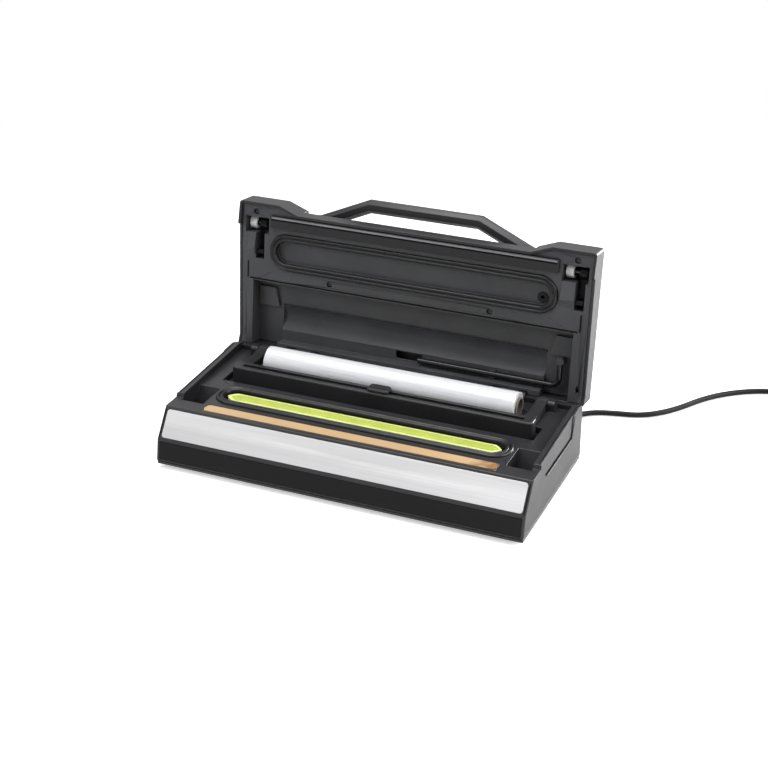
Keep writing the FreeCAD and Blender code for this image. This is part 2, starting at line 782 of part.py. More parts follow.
def vacuum_pump():
    end = PUMP_X + PUMP_HEAD
    middle = PUMP_X + PUMP_HEAD / 2
    body = rod_x(PUMP_X, end, PUMP_Y, PUMP_Z, PUMP_HEAD_RADIUS)
    flange = rod_x(middle, middle + PUMP_FLANGE, PUMP_Y, PUMP_Z, PUMP_HEAD_RADIUS + PUMP_FLANGE_LIP)
    spout = rod_x(end, end + SPOUT_LENGTH, PUMP_Y + SPOUT_OFFSET, PUMP_Z, HOSE_RADIUS)
    return joined([body, flange, spout])


def pump_bracket():
    """Saddle plate under the motor and the pump head."""
    x0, x1 = PUMP_X - MOTOR_LENGTH + BRACKET_INSET, PUMP_X + PUMP_HEAD - BRACKET_INSET
    foot = box(x0, x1, PUMP_Y - BRACKET_HALF, PUMP_Y + BRACKET_HALF, PLATE_TOP, PLATE_TOP + BRACKET_THICK)
    saddle = box(x0, x0 + SADDLE_LENGTH, PUMP_Y - SADDLE_HALF, PUMP_Y + SADDLE_HALF,
                 PLATE_TOP, PUMP_Z - SADDLE_DROP)
    return less(joined([foot, saddle]),
                [rod_x(x0 - 1, PUMP_X, PUMP_Y, PUMP_Z, MOTOR_RADIUS),
                 rod_x(PUMP_X, x1 + 1, PUMP_Y, PUMP_Z, PUMP_HEAD_RADIUS + PUMP_FLANGE_LIP)])


def board_posts():
    inner = POST_RADIUS + 1
    across = (BOARD_X0 + inner, BOARD_X1 - inner)
    return [(x, y) for x in across for y in (BOARD_Y0 + inner, BOARD_Y1 - inner)]


def control_board():
    return box(BOARD_X0, BOARD_X1, BOARD_Y0, BOARD_Y1, BOARD_Z, BOARD_Z + BOARD_THICK)


def board_stands():
    return [rod_z(x, y, PLATE_TOP, BOARD_Z, POST_RADIUS) for x, y in board_posts()]


def transformer():
    length, depth, height = TRANSFORMER
    low = BOARD_Z + BOARD_THICK
    x0 = BOARD_X1 - length - TRANSFORMER_INSET
    y0 = (BOARD_Y0 + BOARD_Y1 - depth) / 2
    core = box(x0, x0 + length, y0, y0 + depth, low + YOKE_STEP, low + height - YOKE_STEP)
    winding = rounded_box(x0 + LIMB_WIDTH, x0 + length - LIMB_WIDTH, y0 - YOKE_STEP, y0 + depth + YOKE_STEP,
                          low, low + height, WINDING_ROUND)
    return joined([core, winding])


def lid_switches():
    """Micro switches under the lock pockets, which the hooks trip."""
    width, depth, height = SWITCH_SIZE
    top = POCKET_FLOOR - SKIN
    x0 = (POCKET_IN + POCKET_OUT - width) / 2
    y0 = POCKET_FRONT + SKIN
    return both_sides(box(x0, x0 + width, y0, y0 + depth, top - height, top))


def catch_bars():
    return both_sides(rod_x(POCKET_IN - SKIN, POCKET_OUT + SKIN, CATCH_Y, CATCH_Z, CATCH_RADIUS))


def hinge_pins():
    return both_sides(hinge_rod(HINGE_PIN_RADIUS, 0.0))


# Film roll

def film_roll():
    outer = rod_x(-ROLL_HALF, ROLL_HALF, ROLL_Y, ROLL_Z, ROLL_RADIUS)
    return less(outer, [rod_x(-ROLL_HALF, ROLL_HALF, ROLL_Y, ROLL_Z, CORE_RADIUS)])


def roll_core():
    reach = ROLL_HALF + CORE_OVERHANG
    outer = rod_x(-reach, reach, ROLL_Y, ROLL_Z, CORE_RADIUS)
    return less(outer, [rod_x(-reach, reach, ROLL_Y, ROLL_Z, CORE_BORE)])


# Film cutter: swinging rail with a sliding blade

RAIL_REAR = RAIL_FRONT + RAIL_WIDTH
RAIL_MIDDLE = RAIL_FRONT + RAIL_WIDTH / 2


def cutter_rail():
    rail = rounded_box(-RAIL_HALF, RAIL_HALF, RAIL_FRONT, RAIL_REAR, RAIL_BOTTOM, RAIL_TOP, RAIL_CORNER)
    crown = [e for e in rail.Edges if e.CenterOfMass.z > RAIL_TOP - 0.01]
    rail = rail.makeChamfer(TOP_EDGE, crown)
    slot = box(-RAIL_SLOT_HALF, RAIL_SLOT_HALF, RAIL_MIDDLE - RAIL_SLOT / 2, RAIL_MIDDLE + RAIL_SLOT / 2,
               RAIL_TOP - RAIL_SLOT_DEPTH, ABOVE)
    return less(rail, [slot])


def cutter_arms():
    """Side arms from the rail's back to the pivot, with a hollow curve along their tops."""
    low, high = CUTTER_PIVOT_Z - PIVOT_EYE, CUTTER_PIVOT_Z + PIVOT_EYE
    heel = V(ARM_IN, RAIL_REAR, low)
    shoulder = V(ARM_IN, RAIL_REAR, RAIL_TOP - ARM_STEP)
    sag = V(ARM_IN, (RAIL_REAR + CUTTER_PIVOT_Y) / 2, high - ARM_SAG)
    above_eye = V(ARM_IN, CUTTER_PIVOT_Y, high)
    below_eye = V(ARM_IN, CUTTER_PIVOT_Y, low)
    edges = [Part.LineSegment(heel, shoulder), Part.Arc(shoulder, sag, above_eye),
             Part.LineSegment(above_eye, below_eye), Part.LineSegment(below_eye, heel)]
    plate = Part.Face(Part.Wire([edge.toShape() for edge in edges])).extrude(V(ARM_THICK, 0, 0))
    eye = rod_x(ARM_IN, ARM_IN + ARM_THICK, CUTTER_PIVOT_Y, CUTTER_PIVOT_Z, PIVOT_EYE)
    arm = less(joined([plate, eye]),
               [rod_x(ARM_IN, ARM_IN + ARM_THICK, CUTTER_PIVOT_Y, CUTTER_PIVOT_Z, CUTTER_PIN_RADIUS)])
    return both_sides(arm)


def cutter_pins():
    return both_sides(rod_x(ARM_IN, ARM_IN + ARM_THICK + CUTTER_PIN_LENGTH, CUTTER_PIVOT_Y,
                            CUTTER_PIVOT_Z, CUTTER_PIN_RADIUS))


def cutter_knob():
    """Thumb slider on the rail, with a keel in the rail's slot."""
    low = RAIL_TOP + SLIDE_CLEARANCE
    half = KNOB_LENGTH / 2
    cap = rounded_box(-half, half, RAIL_FRONT + 1, RAIL_REAR - 1, low, low + KNOB_HEIGHT, KNOB_ROUND)
    crown = [e for e in cap.Edges if e.CenterOfMass.z > low + KNOB_HEIGHT - 0.01]
    cap = cap.makeChamfer(TOP_EDGE, crown)
    keel_half = RAIL_SLOT / 2 - SLIDE_CLEARANCE
    keel = box(-half + KEEL_INSET, half - KEEL_INSET, RAIL_MIDDLE - keel_half, RAIL_MIDDLE + keel_half,
               RAIL_TOP - RAIL_SLOT_DEPTH / 2, low)
    slit = box(-half, half, RAIL_MIDDLE - BLADE_THICK / 2, RAIL_MIDDLE + BLADE_THICK / 2,
               RAIL_TOP - RAIL_SLOT_DEPTH, RAIL_TOP - RAIL_SLOT_DEPTH / 4)
    return less(joined([cap, keel]), [slit])


def cutter_blade():
    top = RAIL_TOP - RAIL_SLOT_DEPTH / 4
    low = RAIL_TOP - RAIL_SLOT_DEPTH + SLIDE_CLEARANCE
    outline = [(-BLADE_TOP_HALF, top), (BLADE_TOP_HALF, top), (BLADE_LOW_HALF, low), (-BLADE_LOW_HALF, low)]
    wire = Part.makePolygon([V(x, RAIL_MIDDLE - BLADE_THICK / 2, z) for x, z in outline + outline[:1]])
    return Part.Face(wire).extrude(V(0, BLADE_THICK, 0))


# Lid, drawn closed

def lid_plan(distance):
    plan = [(-HALF, LID_REAR), (HALF, LID_REAR), (HALF, LID_FRONT), (CORNER_IN, LID_FRONT),
            (CORNER_TOE, LID_MIDDLE), (-CORNER_TOE, LID_MIDDLE), (-CORNER_IN, LID_FRONT), (-HALF, LID_FRONT)]
    return inset(plan, distance) if distance else plan


def front_slope(distance):
    """Wedge cut off the top of the lid's middle, along its front edge, moved down by a distance."""
    low = LID_TOP - FRONT_SLOPE_DROP - distance
    high = LID_TOP - distance
    outline = [(LID_FRONT - 1, low), (LID_MIDDLE, low), (LID_MIDDLE + FRONT_SLOPE_START, high),
               (LID_MIDDLE + FRONT_SLOPE_START, ABOVE), (LID_FRONT - 1, ABOVE)]
    half = CORNER_TOE + distance
    return prism_x(outline, -half, half)


def below_lid_edge():
    """Space under the lower edge of the lid's side walls, which follows the base's rim."""
    edge = [(LID_FRONT - 1, LID_PLANE - LIP_DROP), (STEP_Y - STEP_LEAD, DECK_Z + LID_RIM_GAP)]
    edge += [(STEP_Y - STEP_CLEARANCE, RIM_STEP_Z + LID_RIM_GAP)] + rim_line(LID_RIM_GAP)[1:]
    edge += [(LID_REAR + 1, RIM_END_Z + LID_RIM_GAP), (LID_REAR + 1, 0.0), (LID_FRONT - 1, 0.0)]
    return prism_x(edge, -HALF - 1, HALF + 1)


def handle_slot():
    low = COVER_ROOF - FRONT_SLOPE_DROP - LID_SKIN
    return rounded_box(SLOT_IN, SLOT_OUT, SLOT_FRONT, SLOT_REAR, low, ABOVE, SLOT_ROUND)


def panel_plate(grow):
    return rounded_box(-PANEL_HALF - grow, PANEL_HALF + grow, PANEL_FRONT - grow, PANEL_REAR + grow,
                       LID_TOP - PANEL_THICK, LID_TOP, PANEL_CORNER)


def button_shape(x, grow, z0, z1):
    return rounded_box(x - BUTTON_HALF - grow, x + BUTTON_HALF + grow, BUTTON_Y - BUTTON_DEEP - grow,
                       BUTTON_Y + BUTTON_DEEP + grow, z0, z1, BUTTON_CORNER)


def lid_cover():
    shell = less(prism_z(lid_plan(0), 0, LID_TOP), [front_slope(0)])
    rounded = []
    for edge in shell.Edges:
        spot = edge.CenterOfMass
        on_rim = spot.z > LID_TOP - 0.01 and not LID_MIDDLE + 0.1 < spot.y < LID_REAR - 0.1
        if on_rim or (abs(spot.x) > HALF - 0.01 and spot.z > COVER_ROOF - LID_PLANE):
            rounded.append(edge)
    shell = shell.makeFillet(LID_ROUND, rounded)
    hollow = less(prism_z(lid_plan(LID_SKIN), -1, COVER_ROOF), [front_slope(LID_SKIN)])
    cuts = [hollow, below_lid_edge(), panel_plate(0.0)]
    cuts += both_sides(hinge_rod(KNUCKLE_RADIUS + HINGE_RELIEF, HINGE_RELIEF)) + both_sides(handle_slot())
    cuts += [button_shape(x, BUTTON_GAP, 0, ABOVE) for x in BUTTON_X]
    return less(shell, cuts)


def lid_spaces(grow):
    """Hollows in the lid's inner plate: shelf, roll cover, hose channel, chamber, seats and pockets."""
    shelf = box(-SHELF_HALF - grow, SHELF_HALF + grow, SHELF_FRONT - grow, SHELF_REAR + grow,
                0, SHELF_ROOF + grow)
    roll = rod_x(-ROLL_COVER_HALF - grow, ROLL_COVER_HALF + grow, ROLL_Y, ROLL_Z, ROLL_COVER_RADIUS + grow)
    hose = box(-ROLL_COVER_HALF - grow, ROLL_COVER_HALF + grow, ROLL_Y, HOSE_CHANNEL_REAR + grow,
               0, HOSE_CHANNEL_ROOF + grow)
    arms = box(ROLL_COVER_HALF - grow, SHELF_HALF + grow, SHELF_FRONT - grow, LID_REAR, 0, SHELF_ROOF + grow)
    chamber = stadium(CHAMBER_REACH + grow, CHAMBER_HALF + grow, CHAMBER_Y,
                      0, LID_PLANE + LID_CHAMBER_DEPTH + grow)
    strip = strip_block(grow, 0, LID_PLANE + STRIP_SEAT + grow)
    bush_room = box(LID_POCKET_IN - grow, LID_POCKET_OUT + grow, LID_POCKET_FRONT - grow, BUSH_REAR + grow,
                    0, COVER_ROOF + grow * ABOVE)
    slots = [hook_slot(x, grow) for x in HOOK_X]
    return [shelf, roll, hose, chamber, strip] + both_sides(arms) + both_sides(bush_room) + slots


def hook_slot(x, grow):
    """Narrow room for one hook, behind the room of its bush."""
    half = SLOT_HALF + grow
    return box(x - half, x + half, PIVOT_Y, LID_POCKET_REAR + grow, 0, COVER_ROOF + grow * ABOVE)


BUSH_REAR = PIVOT_Y + BUSH_RADIUS + BUSH_GAP
SLOT_HALF = HOOK_THICK / 2 + HOOK_SIDE_GAP
STRIP_MIDDLE = HEATER_MIDDLE + STRIP_OFFSET


def strip_block(grow, z0, z1):
    half = STRIP_WIDTH / 2 + grow
    return box(-STRIP_REACH - grow, STRIP_REACH + grow, STRIP_MIDDLE - half, STRIP_MIDDLE + half, z0, z1)


def lid_screw_places():
    """Screws through the inner plate as (x, y), with the height of the plate there."""
    high = RIM_REAR_Z + LID_RIM_GAP + PLATE_GAP
    return [(HALF - LID_SCREW_CORNER, LID_FRONT + LID_SCREW_SETBACK, LID_PLANE),
            (LID_SCREW_MIDDLE_X, LID_SCREW_MIDDLE_Y, LID_PLANE),
            (HALF - LID_SCREW_SIDE, LID_REAR - LID_SCREW_REAR, high)]


def wedge(left, hook_x):
    """Raised block behind a bush's room, from its left side to the hook's slot."""
    outline = [(BUSH_REAR, LID_PLANE), (WEDGE_RIDGE_Y, LID_PLANE - WEDGE_PROUD), (WEDGE_REAR_Y, LID_PLANE),
               (WEDGE_REAR_Y, LID_PLANE + SKIN), (BUSH_REAR, LID_PLANE + SKIN)]
    return prism_x(outline, left, hook_x - SLOT_HALF)


def wedges():
    return [wedge(SKIN - RIM_IN, HOOK_X[0]), wedge(SEAL_REACH + SKIN, HOOK_X[1])]


def shelf_pad():
    """Tapered pad in the shelf's end on the right."""
    plan = [(PAD_IN + PAD_TAPER, PAD_FRONT), (PAD_OUT, PAD_FRONT), (PAD_OUT, PAD_REAR), (PAD_IN, PAD_REAR)]
    return prism_z(plan, SHELF_ROOF - PAD_PROUD, SHELF_ROOF + SKIN)


def lid_inner_plate():
    plan = lid_plan(LID_SKIN + PLATE_GAP)
    slab = prism_z(plan, LID_PLANE, LID_PLANE + SKIN)
    room = prism_z(plan, 0, COVER_ROOF - PLATE_GAP)
    above = box(-HALF, HALF, LID_FRONT, LID_REAR, LID_PLANE, COVER_ROOF - PLATE_GAP)
    shells = [space.common(room).common(above) for space in lid_spaces(SKIN)]
    seat = stadium(SEAL_REACH + SKIN, SEAL_HALF + SKIN, CHAMBER_Y, LID_PLANE, LID_PLANE + SEAL_SEAT + SKIN)
    margin = box(RIM_IN - SKIN, HALF, STEP_Y, LID_REAR, LID_PLANE, RIM_REAR_Z + LID_RIM_GAP + SKIN)
    margins = [side.common(room) for side in both_sides(margin)]
    body = joined([slab, seat] + shells + margins + wedges())
    body = less(body, lid_spaces(0.0) + [stadium(SEAL_REACH, SEAL_HALF, CHAMBER_Y, 0, LID_PLANE + SEAL_SEAT)])
    body = less(body, [below_lid_edge().common(side) for side in
                       both_sides(box(RIM_IN - SKIN / 2, HALF + 1, LID_FRONT, LID_REAR + 1, 0, ABOVE))])
    knuckle = rod_x(HINGE_X - KNUCKLE_HALF, HINGE_X + KNUCKLE_HALF, HINGE_Y, HINGE_Z, KNUCKLE_RADIUS)
    body = less(body, both_sides(hinge_rod(KNUCKLE_RADIUS + HINGE_RELIEF, HINGE_RELIEF)))
    web = box(HINGE_X - KNUCKLE_HALF, HINGE_X + KNUCKLE_HALF, HINGE_Y - KNUCKLE_RADIUS, plan[0][1],
              HINGE_Z, HINGE_Z + KNUCKLE_RADIUS + HINGE_RELIEF + SKIN)
    bosses, wells = [], []
    for x, y, z in lid_screw_places():
        bosses += both_sides(rod_z(x, y, z, COVER_ROOF, BOSS_RADIUS).common(prism_z(plan, 0, ABOVE)))
        wells += both_sides(rod_z(x, y, z - WEDGE_PROUD, z + SCREW_WELL_DEPTH, SCREW_WELL))
    pads = [pad.common(room) for pad in both_sides(shelf_pad())]
    body = joined([body] + both_sides(knuckle) + both_sides(web) + bosses + pads)
    slip = RUNNING_CLEARANCE
    wells += both_sides(hinge_rod(HINGE_PIN_RADIUS + slip, 0.0))
    wells += [rod_x(-SHAFT_HALF, SHAFT_HALF, PIVOT_Y, PIVOT_Z, SHAFT_RADIUS + slip)]
    wells += [rod_z(PORT_X, CHAMBER_Y + PORT_OFFSET, 0, ABOVE, PORT_RADIUS / 2)]
    wells += [rounded_box(-HOSE_NOTCH_HALF, HOSE_NOTCH_HALF, HOSE_Y - 2 * HOSE_RADIUS, HOSE_Y + HOSE_RADIUS,
                          0, ABOVE, SKIN)]
    return less(body, wells)


def pressure_strip():
    return strip_block(0.0, LID_PLANE - STRIP_PROUD, LID_PLANE + STRIP_SEAT)


def lid_screws():
    group = []
    for x, y, z in lid_screw_places():
        group += both_sides(screw(x, y, z + SCREW_WELL_DEPTH))
    return group


def suction_port():
    z1 = LID_PLANE + LID_CHAMBER_DEPTH
    y = CHAMBER_Y + PORT_OFFSET
    boss = rod_z(PORT_X, y, z1 - PORT_THICK, z1, PORT_RADIUS)
    return less(boss, [rod_z(PORT_X, y, 0, ABOVE, PORT_RADIUS / 3)])


def tube_path(points, radius):
    """Straight runs joined by tangent arcs; the arcs are as large as the runs allow, or of one radius."""
    pts = [V(*p) for p in points]
    edges = []
    start = pts[0]
    radii = []
    for i in range(1, len(pts) - 1):
        into = pts[i] - pts[i - 1]
        out = pts[i + 1] - pts[i]
        half_turn = into.getAngle(out) / 2
        if radius:
            reach = radius * math.tan(half_turn)
        else:
            reach = 0.45 * min(into.Length, out.Length)
        radii.append(reach / math.tan(half_turn))
        u = V(into).normalize()
        w = V(out).normalize()
        a = pts[i] - u * reach
        b = pts[i] + w * reach
        to_centre = (w - u).normalize()
        middle = pts[i] + to_centre * (radii[-1] / math.cos(half_turn) - radii[-1])
        edges.append(Part.LineSegment(start, a).toShape())
        edges.append(Part.Arc(a, middle, b).toShape())
        start = b
    edges.append(Part.LineSegment(start, pts[-1]).toShape())
    return Part.Wire(edges), radii


def tube(points, section_radius, bend_radius=None):
    path, radii = tube_path(points, bend_radius)
    first = V(*points[1]) - V(*points[0])
    ring = Part.Wire([Part.makeCircle(section_radius, V(*points[0]), first)])
    solid = path.makePipeShell([ring], True, False)
    expected = math.pi * section_radius ** 2 * path.Length
    print("tube length", round(path.Length, 1), "radii", [round(r, 1) for r in radii],
          "volume share", round(solid.Volume / expected, 4))
    return solid


def hose_points():
    end_x = HOSE_END_X + HOSE_BEND
    return [(HOSE_START_X, HOSE_Y, HOSE_Z), (end_x, HOSE_Y, HOSE_Z), (end_x, HOSE_REACH_Y, HOSE_Z)]


def hose_clip():
    x0, x1 = HOSE_CLIP_X - HOSE_CLIP_WIDTH / 2, HOSE_CLIP_X + HOSE_CLIP_WIDTH / 2
    half = HOSE_RADIUS + HOSE_SLEEVE
    block = box(x0, x1, HOSE_Y - half, HOSE_Y + half, HOSE_Z - HOSE_SLEEVE, HOSE_CHANNEL_ROOF)
    return less(block, [rod_x(x0, x1, HOSE_Y, HOSE_Z, HOSE_RADIUS)])


def hose_elbow():
    """Nipple that takes the hose into the lid's inner plate."""
    x = HOSE_END_X + HOSE_BEND
    radius = HOSE_RADIUS + HOSE_SLEEVE
    stem = rod_z(x, HOSE_REACH_Y - radius, HOSE_Z - HOSE_RADIUS + 0.5, SHELF_ROOF, radius)
    return less(stem, [rod_y(x, HOSE_REACH_Y, HOSE_REACH_Y + radius, HOSE_Z, radius)])


# Handle, lock shaft and hooks

def handle_outline():
    right = [(HANDLE_TOP_HALF, HANDLE_TOP_Y), (HANDLE_SHOULDER, HANDLE_SHOULDER_Y),
             (HANDLE_FOOT, HANDLE_FOOT_Y)]
    outer = [(-x, y) for x, y in reversed(right)] + right
    inner = []
    for i, here in enumerate(outer):
        before = outer[i - 1] if i else None
        after = outer[i + 1] if i + 1 < len(outer) else None
        if before is None:
            before = (2 * here[0] - after[0], 2 * here[1] - after[1])
        if after is None:
            after = (2 * here[0] - before[0], 2 * here[1] - before[1])
        inner.append(corner_offset(before, here, after, -HANDLE_BAND))
    return outer + inner[::-1]


def handle():
    bail = prism_z(handle_outline(), HANDLE_LOW, HANDLE_LOW + HANDLE_DEEP)
    rims = [e for e in bail.Edges if abs(e.tangentAt(e.FirstParameter).z) < 0.1]
    bail = bail.makeChamfer(BAIL_CHAMFER, rims)
    hub = SHAFT_RADIUS + HUB_WALL
    cranks = []
    for x in (-CRANK_X, CRANK_X):
        x0, x1 = x - CRANK_HALF, x + CRANK_HALF
        cranks.append(box(x0, x1, PIVOT_Y - hub, PIVOT_Y + hub, PIVOT_Z, HANDLE_LOW + HANDLE_DEEP / 2))
        cranks.append(rod_x(x0, x1, PIVOT_Y, PIVOT_Z, hub))
    return less(joined([bail] + cranks), [rod_x(-HALF, HALF, PIVOT_Y, PIVOT_Z, SHAFT_RADIUS)])


def lock_shaft():
    reach = SHAFT_HALF - PLATE_GAP
    return rod_x(-reach, reach, PIVOT_Y, PIVOT_Z, SHAFT_RADIUS)


def hook(x):
    x0, x1 = x - HOOK_THICK / 2, x + HOOK_THICK / 2
    hub = rod_x(x0, x1, PIVOT_Y, PIVOT_Z, HOOK_HUB)
    outer = rod_x(x0, x1, PIVOT_Y, PIVOT_Z, HOOK_OUTER)
    arm = box(x0, x1, PIVOT_Y, PIVOT_Y + 2 * HOOK_OUTER, PIVOT_Z - HOOK_WIDTH / 2, PIVOT_Z + HOOK_WIDTH / 2)
    toe_angle = math.radians(HOOK_TOE_DEG)
    far = 3 * HOOK_OUTER
    sector = prism_x([(PIVOT_Y, PIVOT_Z), (PIVOT_Y + far, PIVOT_Z),
                      (PIVOT_Y + far * math.cos(toe_angle), PIVOT_Z - far * math.sin(toe_angle))], x0, x1)
    ring = outer.cut(rod_x(x0, x1, PIVOT_Y, PIVOT_Z, HOOK_INNER))
    shape = joined([hub, arm.common(outer), sector.common(ring)])
    shape = less(shape, [rod_x(x0, x1, PIVOT_Y, PIVOT_Z, SHAFT_RADIUS)])
    return turned(shape, PIVOT_Y, PIVOT_Z, HOOK_REST_DEG)


def bush(x):
    x0, x1 = x - BUSH_THICK / 2, x + BUSH_THICK / 2
    return less(rod_x(x0, x1, PIVOT_Y, PIVOT_Z, BUSH_RADIUS), [rod_x(x0, x1, PIVOT_Y, PIVOT_Z, SHAFT_RADIUS)])


# Controls

def control_panel():
    holes = [button_shape(x, BUTTON_GAP, 0, ABOVE) for x in BUTTON_X]
    holes += [rod_z(x, LAMP_Y, 0, ABOVE, LAMP_RADIUS) for x in BUTTON_X]
    return less(panel_plate(0.0), holes)


def button(x):
    top = LID_TOP + BUTTON_PROUD
    cap = button_shape(x, 0.0, top - BUTTON_HEIGHT, top)
    crown = [e for e in cap.Edges if e.CenterOfMass.z > top - 0.01]
    return cap.makeChamfer(BUTTON_EDGE, crown)


def lamps():
    return [rod_z(x, LAMP_Y, LID_TOP - PANEL_THICK, LID_TOP, LAMP_RADIUS) for x in BUTTON_X]


# Power cord

def strain_relief():
    cone = Part.makeCone(GLAND_RADIUS, CORD_RADIUS + 1, GLAND_LENGTH, V(GLAND_X, BASE_REAR, GLAND_Z),
                         V(0, 1, 0))
    flange = rod_y(GLAND_X, BASE_REAR, BASE_REAR + SKIN, GLAND_Z, GLAND_RADIUS + SKIN)
    return joined([cone, flange])


def cord_coil():
    outer = COIL_MEAN + 2 * CORD_RADIUS
    inner = COIL_MEAN - 2 * CORD_RADIUS
    ring = rod_z(COIL_X, COIL_Y, COIL_LOW, COIL_LOW + COIL_HEIGHT, outer)
    return less(ring, [rod_z(COIL_X, COIL_Y, 0, ABOVE, inner)])


PLUG_X = COIL_X + COIL_MEAN + CORD_RADIUS
PLUG_Z = PLUG_THICK / 2 + COIL_LOW
PLUG_TOP_Y = COIL_Y - COIL_MEAN / 2
PLUG_FACE_Y = PLUG_TOP_Y - PLUG_NECK - PLUG_LENGTH


def plug():
    neck = Part.makeCone(CORD_RADIUS + PLUG_ROUND / 4, PLUG_THICK / 2 - PLUG_ROUND / 4, PLUG_NECK,
                         V(PLUG_X, PLUG_TOP_Y, PLUG_Z), V(0, -1, 0))
    top = PLUG_TOP_Y - PLUG_NECK
    half = PLUG_WIDTH / 2
    right = [(PLUG_SHOULDER, top), (half, top - PLUG_LENGTH / 3), (half, PLUG_FACE_Y)]
    plan = [(PLUG_X + x, y) for x, y in right] + [(PLUG_X - x, y) for x, y in reversed(right)]
    body = prism_z(plan, COIL_LOW, COIL_LOW + PLUG_THICK)
    body = body.makeFillet(PLUG_ROUND, [e for e in body.Edges if e.CenterOfMass.y > PLUG_FACE_Y + 1])
    return joined([body, neck])


def plug_pins():
    pins = []
    for side in (-0.5, 0.5):
        x = PLUG_X + side * PIN_SPACING
        shank = PIN_LENGTH - PIN_TIP
        out = V(0, -1, 0)
        pin = Part.makeCylinder(PIN_RADIUS, shank, V(x, PLUG_FACE_Y, PLUG_Z), out)
        tip = Part.makeCone(PIN_RADIUS, PIN_RADIUS - PIN_TIP, PIN_TIP, V(x, PLUG_FACE_Y - shank, PLUG_Z), out)
        pins.append(joined([pin, tip]))
    return pins


def main():
    os.makedirs("parts", exist_ok=True)
    save("base_housing", housing())
    save("base_plate", floor_plate())
    save("rubber_feet", feet())
    save("base_screws", [screw(x, y, FOOT_HEIGHT) for x, y in base_screw_places()])
    save("front_trim", trim_shape(0.0))
    save("front_fascia", fascia_shape(0.0))
    save("base_gasket", seal_ring(DECK_Z - SEAL_SEAT, DECK_Z + BASE_SEAL_PROUD))
    save("drip_tray", drip_tray())
    save("heater_bar", heater_bar())
    save("heating_wire", heating_wire())
    save("release_tape", release_tape())
    save("catch_bars", catch_bars())
    save("hinge_pins", hinge_pins())
    save("pump_motor", pump_motor())
    save("vacuum_pump", vacuum_pump())
    save("pump_bracket", pump_bracket())
    save("control_board", control_board())
    save("board_stands", board_stands())
    save("transformer", transformer())
    save("lid_switches", lid_switches())
    save("film_roll", film_roll())
    save("roll_core", roll_core())
    save("cutter_rail", cutter_rail())
    save("cutter_arms", cutter_arms())
    save("cutter_pins", cutter_pins())
    save("cutter_knob", cutter_knob())
    save("cutter_blade", cutter_blade())
    save_lid("lid_cover", lid_cover())
    save_lid("lid_inner_plate", lid_inner_plate())
    save_lid("lid_gasket", seal_ring(LID_PLANE - LID_SEAL_PROUD, LID_PLANE + SEAL_SEAT))
    save_lid("pressure_strip", pressure_strip())
    save_lid("suction_port", suction_port())
    save_lid("vacuum_hose", tube(hose_points(), HOSE_RADIUS, HOSE_BEND))
    save_lid("hose_clip", hose_clip())
    save_lid("hose_elbow", hose_elbow())
    save_lid("lid_screws", lid_screws())
    save_lid("handle", handle())
    save_lid("lock_shaft", lock_shaft())
    save_lid("latch_hooks", [hook(x) for x in HOOK_X])
    save_lid("hook_bushes", [bush(x) for x in BUSH_X])
    save_lid("control_panel", control_panel())
    for number, x in enumerate(BUTTON_X, 1):
        save_lid("button_%d" % number, button(x))
    save_lid("indicator_lamps", lamps())
    save("strain_relief", strain_relief())
    save("power_cord", tube(CORD_ROUTE, CORD_RADIUS))
    save("cord_coil", cord_coil())
    save("plug", plug())
    save("plug_pins", plug_pins())


main()
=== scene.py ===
"""Looks of an open vacuum sealer with a film roll loaded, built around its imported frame."""
import json
import logging
import math
from dataclasses import dataclass
from enum import Enum
from typing import Iterable, Sequence

import bmesh
import bpy
from mathutils import Matrix, Vector
from mathutils.bvhtree import BVHTree

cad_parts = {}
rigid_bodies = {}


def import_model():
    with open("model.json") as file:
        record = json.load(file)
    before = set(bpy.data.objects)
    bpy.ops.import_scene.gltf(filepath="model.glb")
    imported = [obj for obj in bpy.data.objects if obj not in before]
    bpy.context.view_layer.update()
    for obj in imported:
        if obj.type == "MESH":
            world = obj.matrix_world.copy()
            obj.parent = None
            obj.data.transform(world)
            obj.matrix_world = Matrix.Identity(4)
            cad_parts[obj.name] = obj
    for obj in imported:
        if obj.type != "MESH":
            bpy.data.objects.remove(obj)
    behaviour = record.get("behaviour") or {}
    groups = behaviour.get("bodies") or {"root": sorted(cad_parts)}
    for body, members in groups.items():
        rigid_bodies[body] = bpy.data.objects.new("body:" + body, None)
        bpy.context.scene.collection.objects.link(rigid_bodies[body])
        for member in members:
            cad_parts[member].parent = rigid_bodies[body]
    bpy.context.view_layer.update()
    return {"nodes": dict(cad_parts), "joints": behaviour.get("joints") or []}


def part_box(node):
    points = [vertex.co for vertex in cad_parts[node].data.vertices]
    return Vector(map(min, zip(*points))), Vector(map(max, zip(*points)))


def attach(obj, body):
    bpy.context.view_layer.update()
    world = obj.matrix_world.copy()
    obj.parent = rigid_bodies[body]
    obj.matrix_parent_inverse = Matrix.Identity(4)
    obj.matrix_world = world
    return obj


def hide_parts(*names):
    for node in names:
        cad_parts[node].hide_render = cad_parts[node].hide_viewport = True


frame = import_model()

LOG = logging.getLogger("vacuum_sealer")
MM = 0.001
WELD = 0.002 * MM
# Rise and point spacing of the ribbons that paint lines of shadow and highlight
PAINTED_LINE_RISE = 0.15 * MM
PAINTED_LINE_STEP = 3 * MM
LIP_WIDTH = 8 * MM
# First half of a lip seal's section, as shares of its width and height
LIP_HALF = ((0.0, 0.0), (0.0, 0.62), (0.08, 0.86), (0.2, 0.98), (0.32, 0.96), (0.4, 0.8), (0.46, 0.7))
CORNER_STEPS = 6
END_STEPS = 24
SOFT_SEGMENTS = 3
# Material number of the strips that a bevel adds
STRIP = 1
FLAT_TURN = math.radians(0.5)
SHARP_TURN = math.radians(38)
WIDE_TURN = math.radians(60)
